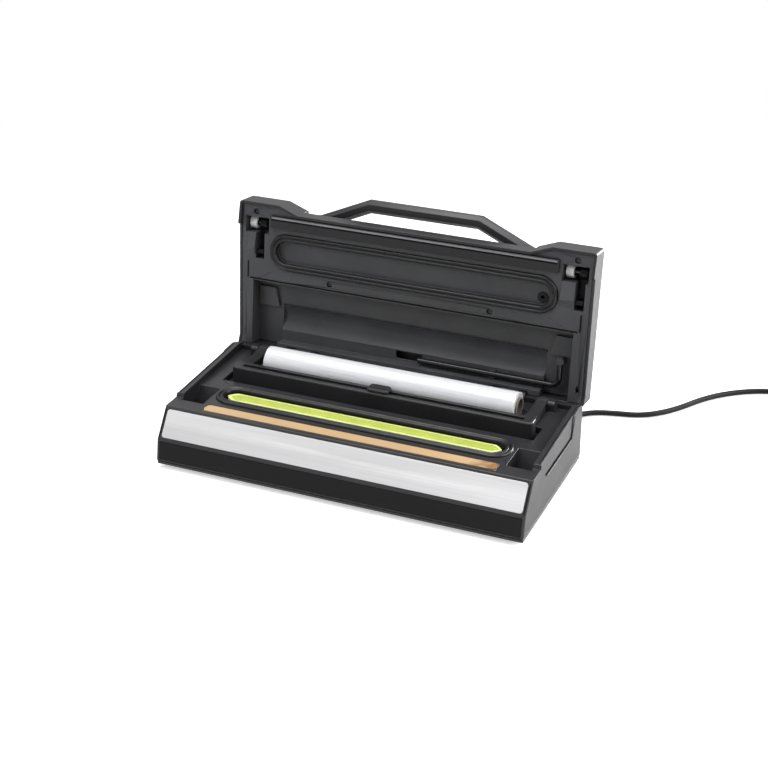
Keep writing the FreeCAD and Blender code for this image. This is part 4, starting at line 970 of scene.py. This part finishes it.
class RowTree:
    """Geometry Nodes tree that sets copies of a shape on points of a mesh, or along a straight row."""

    def __init__(self, name: str, straight: bool) -> None:
        """Build the tree.

        Args:
            name: Name of the tree.
            straight: True for a straight row with a count and a step.
        """
        self.tree = bpy.data.node_groups.new(name, "GeometryNodeTree")
        face = self.tree.interface
        face.new_socket("Geometry", in_out="INPUT", socket_type="NodeSocketGeometry")
        face.new_socket("Geometry", in_out="OUTPUT", socket_type="NodeSocketGeometry")
        self.ids: dict[str, str] = {}
        wanted = [("Shape", "NodeSocketObject"), ("Tilt", "NodeSocketVector"),
                  ("Finish", "NodeSocketMaterial")]
        if straight:
            wanted += [("Count", "NodeSocketInt"), ("Start", "NodeSocketVector"),
                       ("Step", "NodeSocketVector")]
        for label, kind in wanted:
            self.ids[label] = face.new_socket(label, in_out="INPUT", socket_type=kind).identifier
        self.lay(straight)

    def lay(self, straight: bool) -> None:
        """Lay and link the tree's nodes.

        Args:
            straight: True for a straight row with a count and a step.
        """
        nodes, links = self.tree.nodes, self.tree.links
        given = nodes.new("NodeGroupInput")
        made = nodes.new("NodeGroupOutput")
        shape = nodes.new("GeometryNodeObjectInfo")
        copies = nodes.new("GeometryNodeInstanceOnPoints")
        real = nodes.new("GeometryNodeRealizeInstances")
        coat = nodes.new("GeometryNodeSetMaterial")
        links.new(given.outputs["Shape"], shape.inputs["Object"])
        if straight:
            line = nodes.new("GeometryNodeMeshLine")
            line.mode = "OFFSET"
            links.new(given.outputs["Count"], line.inputs["Count"])
            links.new(given.outputs["Start"], line.inputs["Start Location"])
            links.new(given.outputs["Step"], line.inputs["Offset"])
            links.new(line.outputs["Mesh"], copies.inputs["Points"])
        else:
            links.new(given.outputs["Geometry"], copies.inputs["Points"])
        links.new(shape.outputs["Geometry"], copies.inputs["Instance"])
        links.new(given.outputs["Tilt"], copies.inputs["Rotation"])
        links.new(copies.outputs["Instances"], real.inputs["Geometry"])
        links.new(real.outputs["Geometry"], coat.inputs["Geometry"])
        links.new(given.outputs["Finish"], coat.inputs["Material"])
        links.new(coat.outputs["Geometry"], made.inputs["Geometry"])

    def grow(self, name: str, points: Sequence[Vector], shape: Mesh, finish: Finish,
             tilt: Point = (0.0, 0.0, 0.0), **row: object) -> Piece:
        """Lay copies of a shape and return them as one plain piece.

        Args:
            name: Name of the piece.
            points: Places of the copies, or one point for a straight row.
            shape: Mesh of one copy.
            finish: Finish of the copies.
            tilt: Turn of each copy, in radians.
            row: Count, Start and Step of a straight row.

        Returns:
            The finished piece.
        """
        pattern = link(name + "_pattern", shape)
        mesh = bpy.data.meshes.new(name)
        mesh.from_pydata([tuple(p) for p in points], [], [])
        obj = link(name, mesh)
        holder = obj.modifiers.new("copies", "NODES")
        holder.node_group = self.tree
        for label, value in {"Shape": pattern, "Tilt": tilt, "Finish": finish.material(), **row}.items():
            holder[self.ids[label]] = value
        plain_mesh(obj)
        bpy.data.objects.remove(pattern)
        return obj


# Sub-assemblies


@dataclass
class PhotoCamera:
    """Camera at the photograph's viewing angle."""

    place: Point = (0.5870, -1.3631, 0.8111)
    aim: Point = (0.017, -0.0332, 0.096)
    lens: float = 75.8
    sensor: float = 36.0

    def build(self) -> None:
        """Add the camera and make it the scene's own."""
        data = bpy.data.cameras.new("photo_camera")
        data.lens = self.lens
        data.sensor_width = self.sensor
        camera = bpy.data.objects.new("photo_camera", data)
        stand(camera, self.place, self.aim)
        bpy.context.scene.camera = camera


@dataclass(frozen=True)
class SoftLamp:
    """Square soft lamp that hangs at a place and faces a point."""

    name: str
    place: Point
    aim: Point
    size: float
    power: float
    mirrored: bool = True

    def hang(self) -> None:
        """Hang the lamp in the scene, seen in reflections or not."""
        data = bpy.data.lights.new(self.name, "AREA")
        data.size = self.size
        data.energy = self.power
        lamp = bpy.data.objects.new(self.name, data)
        lamp.visible_glossy = self.mirrored
        stand(lamp, self.place, self.aim)


@dataclass
class Studio:
    """Pale floor, white surroundings and soft lamps."""

    floor_size: float = 8.0
    floor_colour: Colour = (0.9, 0.9, 0.9)
    floor_mottle: float = 0.4
    floor_lift: float = 0.5
    fade_from: float = 0.6
    fade_to: float = 1.3
    sky: float = 0.26
    dim: float = 0.3
    bright: float = 1.0
    window: Point = (0.2, 0.12, 0.97)
    window_from: float = -0.3
    window_to: float = 0.8
    lamps: tuple[SoftLamp, ...] = (
        SoftLamp("top_softbox", (-0.2, 0.0, 1.9), (0.0, -0.03, 0.05), 1.2, 28.0),
        SoftLamp("left_softbox", (-1.3, -1.1, 1.3), (0.0, 0.0, 0.1), 0.9, 16.0, mirrored=False),
        SoftLamp("right_softbox", (1.6, 0.2, 1.0), (0.0, 0.0, 0.12), 1.0, 20.0),
        SoftLamp("rim_softbox", (1.2, 1.9, 0.5), (0.1, 0.0, 0.12), 0.9, 70.0))

    def build(self) -> None:
        """Lay the floor, the world and the lamps."""
        bpy.context.scene.view_settings.view_transform = "Standard"
        self.lay_floor()
        self.light_world()
        for lamp in self.lamps:
            lamp.hang()

    @staticmethod
    def seen_rays(tree: bpy.types.NodeTree) -> Socket:
        """Tell rays to the eye and through clear things from the others.

        Args:
            tree: Tree that takes the nodes.

        Returns:
            1 for such a ray, or else 0.
        """
        rays = tree.nodes.new("ShaderNodeLightPath")
        step = tree.nodes.new("ShaderNodeMath")
        step.operation = "MAXIMUM"
        tree.links.new(rays.outputs["Is Camera Ray"], step.inputs[0])
        tree.links.new(rays.outputs["Is Transmission Ray"], step.inputs[1])
        return step.outputs[0]

    def lay_floor(self) -> None:
        """Lay a floor that looks white and still takes a shadow."""
        half = self.floor_size / 2
        mesh = mesh_from([(-half, -half, 0), (half, -half, 0), (half, half, 0), (-half, half, 0)],
                         [(0, 1, 2, 3)], "floor")
        board = NodeBoard("floor_white")
        board.tint(board.noise(self.floor_mottle), self.floor_colour, dark=0.995, light=1.0,
                   start=0.0, stop=1.0)
        board.set(Roughness=0.6, Specular_IOR_Level=0.2)
        glow = board.add("ShaderNodeEmission", {"Strength": self.floor_lift})
        white = board.add("ShaderNodeEmission", {"Strength": 1.0})
        far = board.add("ShaderNodeVectorMath", operation="LENGTH")
        board.link(board.place, far.inputs[0])
        fading = board.remap(far.outputs["Value"], 0.0, 1.0, self.fade_from, self.fade_to)
        fade = board.add("ShaderNodeMixShader")
        seen = board.add("ShaderNodeMixShader")
        both = board.add("ShaderNodeAddShader")
        board.link(board.shader.outputs[0], both.inputs[0])
        board.link(glow.outputs[0], both.inputs[1])
        board.link(fading, fade.inputs["Fac"])
        board.link(both.outputs[0], fade.inputs[1])
        board.link(white.outputs[0], fade.inputs[2])
        board.link(self.seen_rays(board.tree), seen.inputs["Fac"])
        board.link(board.shader.outputs[0], seen.inputs[1])
        board.link(fade.outputs[0], seen.inputs[2])
        board.link(seen.outputs[0], board.output.inputs["Surface"])
        mesh.materials.append(board.material)
        link("floor", mesh)

    def light_world(self) -> None:
        """Light softly from all round, show white to the eye and a bright window in reflections."""
        world = bpy.data.worlds.new("surround")
        world.use_nodes = True
        bpy.context.scene.world = world
        tree = world.node_tree
        paint = tree.nodes["Background"]
        mirrored = self.choose(tree, tree.nodes.new("ShaderNodeLightPath").outputs["Is Glossy Ray"],
                               self.sky, self.window_light(tree))
        shown = self.choose(tree, self.seen_rays(tree), mirrored, 1.0)
        tree.links.new(shown, paint.inputs["Strength"])
        paint.inputs["Color"].default_value = (1.0, 1.0, 1.0, 1.0)

    def window_light(self, tree: bpy.types.NodeTree) -> Socket:
        """Work out how bright the surroundings look in a reflection.

        Args:
            tree: The world's tree.

        Returns:
            The brightness, which is highest towards the window.
        """
        facing = tree.nodes.new("ShaderNodeVectorMath")
        facing.operation = "DOT_PRODUCT"
        tree.links.new(tree.nodes.new("ShaderNodeTexCoord").outputs["Generated"], facing.inputs[0])
        facing.inputs[1].default_value = self.window
        spread = tree.nodes.new("ShaderNodeMapRange")
        limits = {"From Min": self.window_from, "From Max": self.window_to, "To Min": self.dim,
                  "To Max": self.bright}
        for key, value in limits.items():
            spread.inputs[key].default_value = value
        tree.links.new(facing.outputs["Value"], spread.inputs["Value"])
        return spread.outputs["Result"]

    @staticmethod
    def choose(tree: bpy.types.NodeTree, share: Socket, first: Socket | float,
               second: Socket | float) -> Socket:
        """Choose between two values.

        Args:
            tree: Tree that takes the node.
            share: What the choice follows.
            first: Value where the share is 0.
            second: Value where the share is 1.

        Returns:
            The chosen value.
        """
        mix = tree.nodes.new("ShaderNodeMix")
        tree.links.new(share, mix.inputs["Factor"])
        for key, value in (("A", first), ("B", second)):
            if isinstance(value, float):
                mix.inputs[key].default_value = value
            else:
                tree.links.new(value, mix.inputs[key])
        return mix.outputs["Result"]


@dataclass
class PowerCord:
    """Mains cord on the floor, its put-away coil, its plug and its strain relief."""

    diameter: float = 6 * MM
    route: tuple[Point, ...] = (
        (0.1500, 0.0858, 0.0140), (0.1500, 0.1038, 0.0140), (0.1525, 0.1268, 0.0070),
        (0.1620, 0.1488, 0.0032), (0.1800, 0.1658, 0.0032), (0.2040, 0.1728, 0.0032),
        (0.2280, 0.1778, 0.0032), (0.2480, 0.1928, 0.0032), (0.2650, 0.2143, 0.0032),
        (0.2810, 0.2428, 0.0032), (0.3020, 0.2668, 0.0032), (0.3300, 0.2868, 0.0032),
        (0.3620, 0.2968, 0.0032), (0.3810, 0.2988, 0.0032))
    per_turn: int = 24
    turns: float = 3.25
    wide: float = 36.0 * MM
    narrow: float = 29.9 * MM
    low: float = 3.2 * MM
    high: float = 9.4 * MM
    step_in: float = 0.80
    climb: float = 1.58
    step_out: float = 2.42
    ease: float = 0.2
    neck_rise: float = 0.6 * MM
    plug_edge: float = 0.6 * MM
    flange: float = 2.5 * MM
    flange_edge: float = 0.4 * MM
    wall: float = 0.9 * MM
    end_edge: float = 0.5 * MM
    around: int = 32
    rings: int = 6
    ring_lead: float = 0.4
    ring_spare: float = 0.5
    ring_stops: tuple[float, ...] = (0.0, 0.08, 0.34, 0.42)
    groove: float = 0.82

    def coil(self) -> list[Vector]:
        """Wind the coil: wide and then narrow on the floor, then narrow and wide on top of that.

        Returns:
            The points of the coil, on from the route's end.
        """
        low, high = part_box("cord_coil")
        middle = (low + high) / 2
        widen = 1.0 / math.cos(math.pi / self.per_turn)
        points = []
        for i in range(1, round(self.turns * self.per_turn) + 1):
            turn = i / self.per_turn
            angle = math.radians(90 - 360 * turn)
            radius = self.radius_at(turn) * widen
            points.append(Vector((middle.x + radius * math.cos(angle), middle.y + radius * math.sin(angle),
                                  self.height_at(turn))))
        return points

    def eased(self, turn: float, start: float) -> float:
        """Return 0 up to a start, and 1 from a short way on, with an even change between."""
        return min(1.0, max(0.0, (turn - start) / self.ease))

    def radius_at(self, turn: float) -> float:
        """Return the coil's radius: it steps in late in the first turn and out late in the third."""
        share = self.eased(turn, self.step_in) - self.eased(turn, self.step_out)
        return self.wide + (self.narrow - self.wide) * share

    def height_at(self, turn: float) -> float:
        """Return the coil's height: it climbs late in the second turn."""
        return self.low + (self.high - self.low) * self.eased(turn, self.climb)

    def build(self) -> None:
        """Lay the cord and dress what is on it."""
        relief = self.strain_relief()
        plug = settle(rounded_copy("plug", "mains_plug", self.plug_edge), Body.BASE, PLUG, "plug")
        dress("plug_pins", NICKEL)
        low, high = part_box("plug")
        neck = Vector(((low.x + high.x) / 2, high.y, (low.z + high.z) / 2))
        points = [Vector(p) for p in self.route] + self.coil()
        points += [(points[-1] + neck) / 2 + Vector((0, 0, self.neck_rise)), neck]
        data = bpy.data.curves.new("mains_cord", "CURVE")
        data.dimensions = "3D"
        data.bevel_depth = self.diameter / 2
        data.bevel_resolution = 4
        data.resolution_u = 6
        data.use_fill_caps = True
        spline = data.splines.new("NURBS")
        spline.points.add(len(points) - 1)
        for spot, point in zip(spline.points, points):
            spot.co = (*point, 1.0)
        spline.order_u = 3
        spline.use_endpoint_u = True
        cord = bpy.data.objects.new("mains_cord", data)
        bpy.context.scene.collection.objects.link(cord)
        settle(cord, Body.BASE, CORD, "power_cord", "cord_coil")
        bpy.context.view_layer.update()

    @staticmethod
    def length(cord: Piece) -> float:
        """Return the length of the cord's line, to the millimetre."""
        return round(sum(spline.calc_length() for spline in cord.data.splines), 3)

    def strain_relief(self) -> Piece:
        """Make the tapered relief with its moulded rings.

        Returns:
            The relief, settled on the base.
        """
        low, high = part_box("strain_relief")
        middle = (low + high) / 2
        wide, long = (high.x - low.x) / 2, high.y - low.y
        flange, edge = self.flange, self.flange_edge
        cone, thin = wide - flange, self.diameter / 2 + self.wall
        steps = [(0.0, 0.0), (0.0, wide - edge), (edge, wide), (flange - edge, wide), (flange, wide - edge),
                 (flange, cone)]
        pitch = (long - flange) / (self.rings + self.ring_spare)
        for i in range(self.rings):
            start = flange + (i + self.ring_lead) * pitch
            for part, share in zip(self.ring_stops, (1.0, self.groove, self.groove, 1.0)):
                spot = start + part * pitch
                steps.append((spot, (cone + (thin - cone) * spot / long) * share))
        steps += [(long - self.end_edge, thin), (long, thin - self.end_edge), (long, 0.0)]
        verts = [(middle.x + x, low.y + along, middle.z + z)
                 for along, radius in steps for x, z in circle(radius, self.around)]
        mesh = mesh_from(verts, ring_faces(len(steps), self.around), "strain_relief_rings")
        smooth(mesh)
        return settle(link("strain_relief_rings", mesh), Body.BASE, CORD, "strain_relief")


@dataclass
class BaseHousing:
    """Moulded base with its plate, feet, trim, pockets and the works under its deck."""

    edge: float = 0.5 * MM
    trim_edge: float = 0.25 * MM
    fascia_edge: float = 0.3 * MM
    foot_edge: float = 0.8 * MM
    catch_edge: float = 0.3 * MM
    line: float = 1.1 * MM
    rim_x: float = 194.4 * MM
    rim_front: float = -74 * MM
    rim_rear: float = 56 * MM
    bevel_x: float = 195.5 * MM
    above: float = 100 * MM

    def build(self) -> None:
        """Round and dress the base's pieces."""
        settle_rounded(Body.BASE,
                       ("base_housing", "housing_shell", self.edge, SATIN),
                       ("base_plate", "underside_plate", self.edge, SATIN),
                       ("front_trim", "trim_strip", self.trim_edge, TRIM),
                       ("front_fascia", "fascia_strip", self.fascia_edge, GLOSS),
                       ("rubber_feet", "feet", self.foot_edge, RUBBER_AND_PAINTED_SHADE),
                       ("catch_bars", "catches", self.catch_edge, ZINC))
        works = {"hinge_pins": ZINC, "pump_motor": ZINC, "vacuum_pump": SATIN, "pump_bracket": ZINC,
                 "control_board": BOARD, "board_stands": SATIN, "transformer": IRON, "lid_switches": SATIN}
        for node, finish in works.items():
            dress(node, finish)
        for side in (-1, 1):
            self.rim_shadow_lines(side)

    def rim_shadow_lines(self, side: int) -> None:
        """Lay thin black ribbons as painted shadow lines along the rim's top and down beside the trim, where
        shade falls in the gaps.

        Args:
            side: -1 for the left side or 1 for the right.
        """
        x = side * self.rim_x
        top = painted_light_line(f"rim_line_{side}", "base_housing", (x, self.rim_front, self.above),
                   (x, self.rim_rear, self.above), DOWN, self.line)
        settle(top, Body.BASE, RUBBER_AND_PAINTED_SHADE)
        # Painted shadow line down the bevel beside the trim
        x = side * self.bevel_x
        low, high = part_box("front_trim")
        front = painted_light_line(f"bevel_line_{side}", "base_housing", (x, low.y - self.above, low.z),
                     (x, high.y - self.above, high.z), BACK, self.line)
        settle(front, Body.BASE, RUBBER_AND_PAINTED_SHADE)


@dataclass
class SealBed:
    """Chamber of the base with its lip seal and drip tray, and the heat seal bar before it."""

    tray_edge: float = 0.5 * MM
    bar_edge: float = 0.4 * MM
    tape_corner: float = 4 * MM

    def build(self) -> None:
        """Make the seal and dress the tray and the bar."""
        settle(lip_seal("chamber_seal", *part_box("base_gasket"), 1), Body.BASE, SEAL, "base_gasket")
        settle_rounded(Body.BASE,
                       ("drip_tray", "tray", self.tray_edge, LIME, SOFT_SEGMENTS),
                       ("heater_bar", "bar_block", self.bar_edge, PHENOLIC))
        dress("heating_wire", ALLOY)
        tape = link("seal_tape", welded("release_tape"))
        round_corners(tape.data, self.tape_corner)
        settle(tape, Body.BASE, TAPE, "release_tape")


@dataclass
class FilmRoll:
    """Wound film on its card core."""

    layers: int = 7
    around: int = 96
    step: float = 0.5 * MM
    jitter: float = 0.35 * MM
    wander: float = 2.4
    last_inset: float = 0.4
    free_edge: float = 2.0
    core_edge: float = 0.2 * MM

    def build(self) -> None:
        """Make the wound film and dress the core."""
        settle(link("wound_film", self.film()), Body.ROLL, FILM, "film_roll")
        settle_rounded(Body.ROLL, ("roll_core", "core_tube", self.core_edge, CORE))

    def film(self) -> Mesh:
        """Wind the film as a spiral with a free edge and uneven layers at its ends.

        Returns:
            The film's mesh.
        """
        low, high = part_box("film_roll")
        core_low, core_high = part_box("roll_core")
        middle = (low + high) / 2
        half = (high.x - low.x) / 2
        inner = (core_high.z - core_low.z) / 2
        thick = (high.z - low.z) / 2 - inner
        rings: list[tuple[float, float]] = []
        for i in range(self.layers + 1):
            inset = 0.5 + 0.5 * math.sin(self.wander * i) if i < self.layers else self.last_inset
            rings.append((half - self.jitter * inset, i / self.layers))
        profile = [(-x, share) for x, share in rings] + rings[::-1]
        verts = []
        for k in range(self.around):
            lag = 1 - k / (self.around - 1)
            angle = math.tau * k / self.around + self.free_edge
            for x, share in profile:
                radius = inner + share * (thick - self.step * lag)
                verts.append((middle.x + x, middle.y + radius * math.cos(angle),
                              middle.z + radius * math.sin(angle)))
        mesh = mesh_from(verts, ring_faces(self.around, len(profile), closed=True), "wound_film")
        smooth(mesh, degrees=40)
        return mesh


@dataclass
class FilmCutter:
    """Swinging cutter frame and its thumb slider."""

    rail_edge: float = 0.5 * MM
    arm_edge: float = 0.6 * MM
    cap_edge: float = 0.25 * MM
    ribs: int = 7
    rib_step: float = 2.4 * MM
    rib_width: float = 1.1 * MM
    rib_height: float = 0.6 * MM
    rib_share: float = 0.6

    def build(self) -> None:
        """Round the frame and set ribs on the slider."""
        settle_rounded(Body.CUTTER,
                       ("cutter_rail", "rail_bar", self.rail_edge, SATIN),
                       ("cutter_arms", "rail_arms", self.arm_edge, SATIN))
        dress("cutter_pins", ZINC)
        dress("cutter_blade", BLADE)
        settle_rounded(Body.SLIDER, ("cutter_knob", "slider_cap", self.cap_edge, SATIN))
        settle(self.thumb_ribs(), Body.SLIDER, SATIN)

    def thumb_ribs(self) -> Piece:
        """Lay a row of small ribs across the slider's top.

        Returns:
            The ribs as one piece.
        """
        low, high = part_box("cutter_knob")
        half = Vector((self.rib_width, (high.y - low.y) * self.rib_share, self.rib_height)) / 2
        verts = [(x, y, z) for x in (-half.x, half.x) for y in (-half.y, half.y) for z in (-half.z, half.z)]
        faces = [(0, 1, 3, 2), (4, 6, 7, 5), (0, 4, 5, 1), (2, 3, 7, 6), (0, 2, 6, 4), (1, 5, 7, 3)]
        middle = (low + high) / 2
        start = (middle.x - self.rib_step * (self.ribs - 1) / 2, middle.y, high.z)
        return RowTree("ribs_in_a_row", straight=True).grow(
            "slider_ribs", [middle], mesh_from(verts, faces, "rib"), SATIN, Count=self.ribs, Start=start,
            Step=(self.rib_step, 0.0, 0.0))


@dataclass
class Lid:
    """Open lid: cover, moulded inner plate, seal, pressure strip and hose."""

    edge: float = 0.5 * MM
    strip_round: float = 0.8 * MM
    port_edge: float = 0.3 * MM
    clip_edge: float = 0.4 * MM
    line: float = 1.8 * MM
    step_x: float = 184 * MM
    step_z: float = 139.8 * MM
    side_x: float = 186.5 * MM
    side_z: float = 158 * MM
    # Drops below the pressure strip's top of its painted highlight line and its painted shadow line
    strip_edge: float = 1.6 * MM
    strip_shadow_drop: float = 3.4 * MM

    def build(self) -> None:
        """Round and dress the lid's pieces."""
        settle_rounded(Body.LID,
                       ("lid_cover", "cover_shell", self.edge, SATIN),
                       ("lid_inner_plate", "inner_plate", self.edge, MATT),
                       ("pressure_strip", "press_strip", self.strip_round, SEAL, SOFT_SEGMENTS),
                       ("suction_port", "port_ring", self.port_edge, GLOSS),
                       ("hose_clip", "hose_bridge", self.clip_edge, MATT),
                       ("hose_elbow", "hose_nipple", self.clip_edge, MATT))
        dress("vacuum_hose", HOSE)
        seal = lip_seal("lid_seal", *closed_box("lid_gasket"), -1)
        seal.data.transform(lid_turn())
        settle(seal, Body.LID, SEAL, "lid_gasket")
        self.painted_plate_lines()

    def painted_plate_lines(self) -> None:
        """Lay painted shadow lines where the inner plate steps down, and a painted highlight line and a
        painted shadow line on the pressure strip.
        """
        # Black ribbons paint the shadow along the plate's step and up both its sides
        step = painted_light_line("plate_step_line", "lid_inner_plate", (-self.step_x, 0.0, self.step_z),
                    (self.step_x, 0.0, self.step_z), BACK, self.line)
        settle(step, Body.LID, RUBBER_AND_PAINTED_SHADE)
        for side in (-1, 1):
            x = side * self.side_x
            run = painted_light_line(f"plate_side_line_{side}", "lid_inner_plate", (x, 0.0, self.step_z),
                       (x, 0.0, self.side_z), BACK, self.line)
            settle(run, Body.LID, RUBBER_AND_PAINTED_SHADE)
        # A light grey ribbon paints a highlight along the strip's top edge, and a black ribbon paints the
        # shadow below it
        low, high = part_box("pressure_strip")
        for name, drop, finish in (("strip_edge", self.strip_edge, BUTTON_AND_PAINTED_HIGHLIGHT),
                                   ("strip_line", self.strip_shadow_drop, RUBBER_AND_PAINTED_SHADE)):
            z = high.z - drop
            run = painted_light_line(name, "pressure_strip", (low.x + self.line, 0.0, z), (high.x - self.line, 0.0, z),
                       BACK, self.line)
            settle(run, Body.LID, finish)


@dataclass
class LockHandle:
    """Carry handle with the lock shaft, its hooks and its nylon bushes."""

    edge: float = 0.6 * MM
    hook_edge: float = 0.5 * MM
    play: float = 0.1 * MM

    def build(self) -> None:
        """Round and dress the handle's pieces."""
        settle_rounded(Body.HANDLE,
                       ("handle", "carry_handle", self.edge, SATIN),
                       ("latch_hooks", "hooks", self.hook_edge, GLOSS),
                       ("hook_bushes", "bushes", self.hook_edge, NYLON))
        settle(self.shaft(), Body.HANDLE, SCREW, "lock_shaft")

    def shaft(self) -> Piece:
        """Thin the lock shaft by a running clearance.

        Returns:
            The shaft, free in its bores.
        """
        low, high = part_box("lock_shaft")
        middle = (low + high) / 2
        share = 1.0 - 2 * self.play / (high.z - low.z)
        mesh = welded("lock_shaft")
        mesh.transform(Matrix.Translation(middle) @ Matrix.Diagonal((1.0, share, share, 1.0))
                       @ Matrix.Translation(-middle))
        smooth(mesh)
        return link("shaft_rod", mesh)


@dataclass
class Controls:
    """Control panel with its four buttons and their lamps."""

    panel_edge: float = 0.2 * MM
    buttons: int = 4

    def build(self) -> None:
        """Dress the panel, the buttons and the lamps."""
        settle_rounded(Body.LID, ("control_panel", "panel", self.panel_edge, GLOSS))
        dress("indicator_lamps", LAMP)
        for number in range(1, self.buttons + 1):
            dress(f"button_{number}", BUTTON_AND_PAINTED_HIGHLIGHT)


@dataclass
class Fasteners:
    """Cross-head screws in the lid's wells and under the base."""

    head: float = 2.8 * MM
    tall: float = 1.6 * MM
    cross: float = 3.2 * MM
    slot: float = 0.75 * MM
    sink: float = 0.9 * MM
    taper: float = 0.7
    around: int = 24
    domes: int = 4

    def build(self) -> None:
        """Set the screws where the CAD screws are."""
        tree = RowTree("screws_on_places", straight=False)
        turn = lid_turn().to_euler()
        for node, name, body, tilt in (("lid_screws", "lid_cross_screws", Body.LID, tuple(turn)),
                                       ("base_screws", "base_cross_screws", Body.BASE, (0.0, 0.0, 0.0))):
            screws = tree.grow(name, self.places(node), self.screw_head(), SCREW, tilt)
            smooth(screws.data)
            settle(screws, body, SCREW, node)

    @staticmethod
    def places(node: str) -> list[Vector]:
        """Find the separate solids of a node.

        Args:
            node: Name of the CAD node.

        Returns:
            The middle of each solid.
        """
        shape = bmesh.new()
        shape.from_mesh(frame["nodes"][node].data)
        bmesh.ops.remove_doubles(shape, verts=shape.verts, dist=WELD)
        seen: set[int] = set()
        middles = []
        for vert in shape.verts:
            if vert.index in seen:
                continue
            group, queue = [], [vert]
            seen.add(vert.index)
            while queue:
                here = queue.pop()
                group.append(here.co.copy())
                for edge in here.link_edges:
                    other = edge.other_vert(here)
                    if other.index not in seen:
                        seen.add(other.index)
                        queue.append(other)
            low, high = span(group)
            middles.append((low + high) / 2)
        shape.free()
        return middles

    def screw_head(self) -> Mesh:
        """Make a domed head that looks down, with a cross sunk into it.

        Returns:
            The head's mesh, about its own middle.
        """
        top = -self.tall / 2
        verts = [(x, y, -top) for x, y in circle(self.head, self.around)]
        for ring in range(self.domes + 1):
            rise = ring / self.domes * math.pi / 2
            radius = self.head + top * (1 - math.cos(rise))
            verts += [(x, y, top * math.sin(rise)) for x, y in circle(radius, self.around)]
        faces = ring_faces(self.domes + 2, self.around) + [tuple(range(self.around))]
        first = len(verts)
        cap = range(first - self.around, first)
        wide, thin = self.cross / 2, self.slot / 2
        outline = []
        for quarter in range(4):
            spin = Matrix.Rotation(-math.pi / 2 * quarter, 3, "Z")
            outline += [spin @ Vector((x, y, 0)) for x, y in ((thin, thin), (wide, thin), (wide, -thin))]
        count = len(outline)
        verts += [(spot.x, spot.y, top) for spot in outline]
        verts += [(spot.x * self.taper, spot.y * self.taper, top + self.sink) for spot in outline]
        faces += [tuple(first + k for k in face) for face in ring_faces(2, count)]
        faces.append(tuple(range(first + count, len(verts))))
        faces += self.bridge(cap, range(first, first + count), verts)
        return mesh_from(verts, faces, "cross_head")

    def bridge(self, cap: range, cross: range, verts: list[Point]) -> list[tuple[int, ...]]:
        """Join the dome's last ring to the outline of the cross.

        Args:
            cap: Point numbers of the ring.
            cross: Point numbers of the outline.
            verts: All points of the head.

        Returns:
            The faces as point numbers.
        """
        turns = {k: math.atan2(verts[k][1], verts[k][0]) for k in (*cap, *cross)}
        outer, inner = sorted(cap, key=turns.get), sorted(cross, key=turns.get)
        nearest = [min(range(len(inner)), key=lambda j: self.apart(turns[k], turns[inner[j]])) for k in outer]
        faces = []
        for i, k in enumerate(outer):
            following = (i + 1) % len(outer)
            here, there = nearest[i], nearest[following]
            chain = [inner[here]]
            while here != there:
                here = (here + 1) % len(inner)
                chain.append(inner[here])
            faces.append((k, outer[following], *reversed(chain)))
        return faces

    @staticmethod
    def apart(first: float, second: float) -> float:
        """Return the angle between two directions."""
        return abs((first - second + math.pi) % math.tau - math.pi)


def main() -> None:
    """Build the scene in order."""
    logging.basicConfig(level=logging.INFO, format="%(message)s")
    PhotoCamera().build()
    PowerCord().build()
    Studio().build()
    assemblies = (BaseHousing(), SealBed(), FilmRoll(), FilmCutter(), Lid(), LockHandle(), Controls(),
                  Fasteners())
    for assembly in assemblies:
        LOG.info("building %s", type(assembly).__name__)
        assembly.build()


if __name__ == "__main__":
    main()
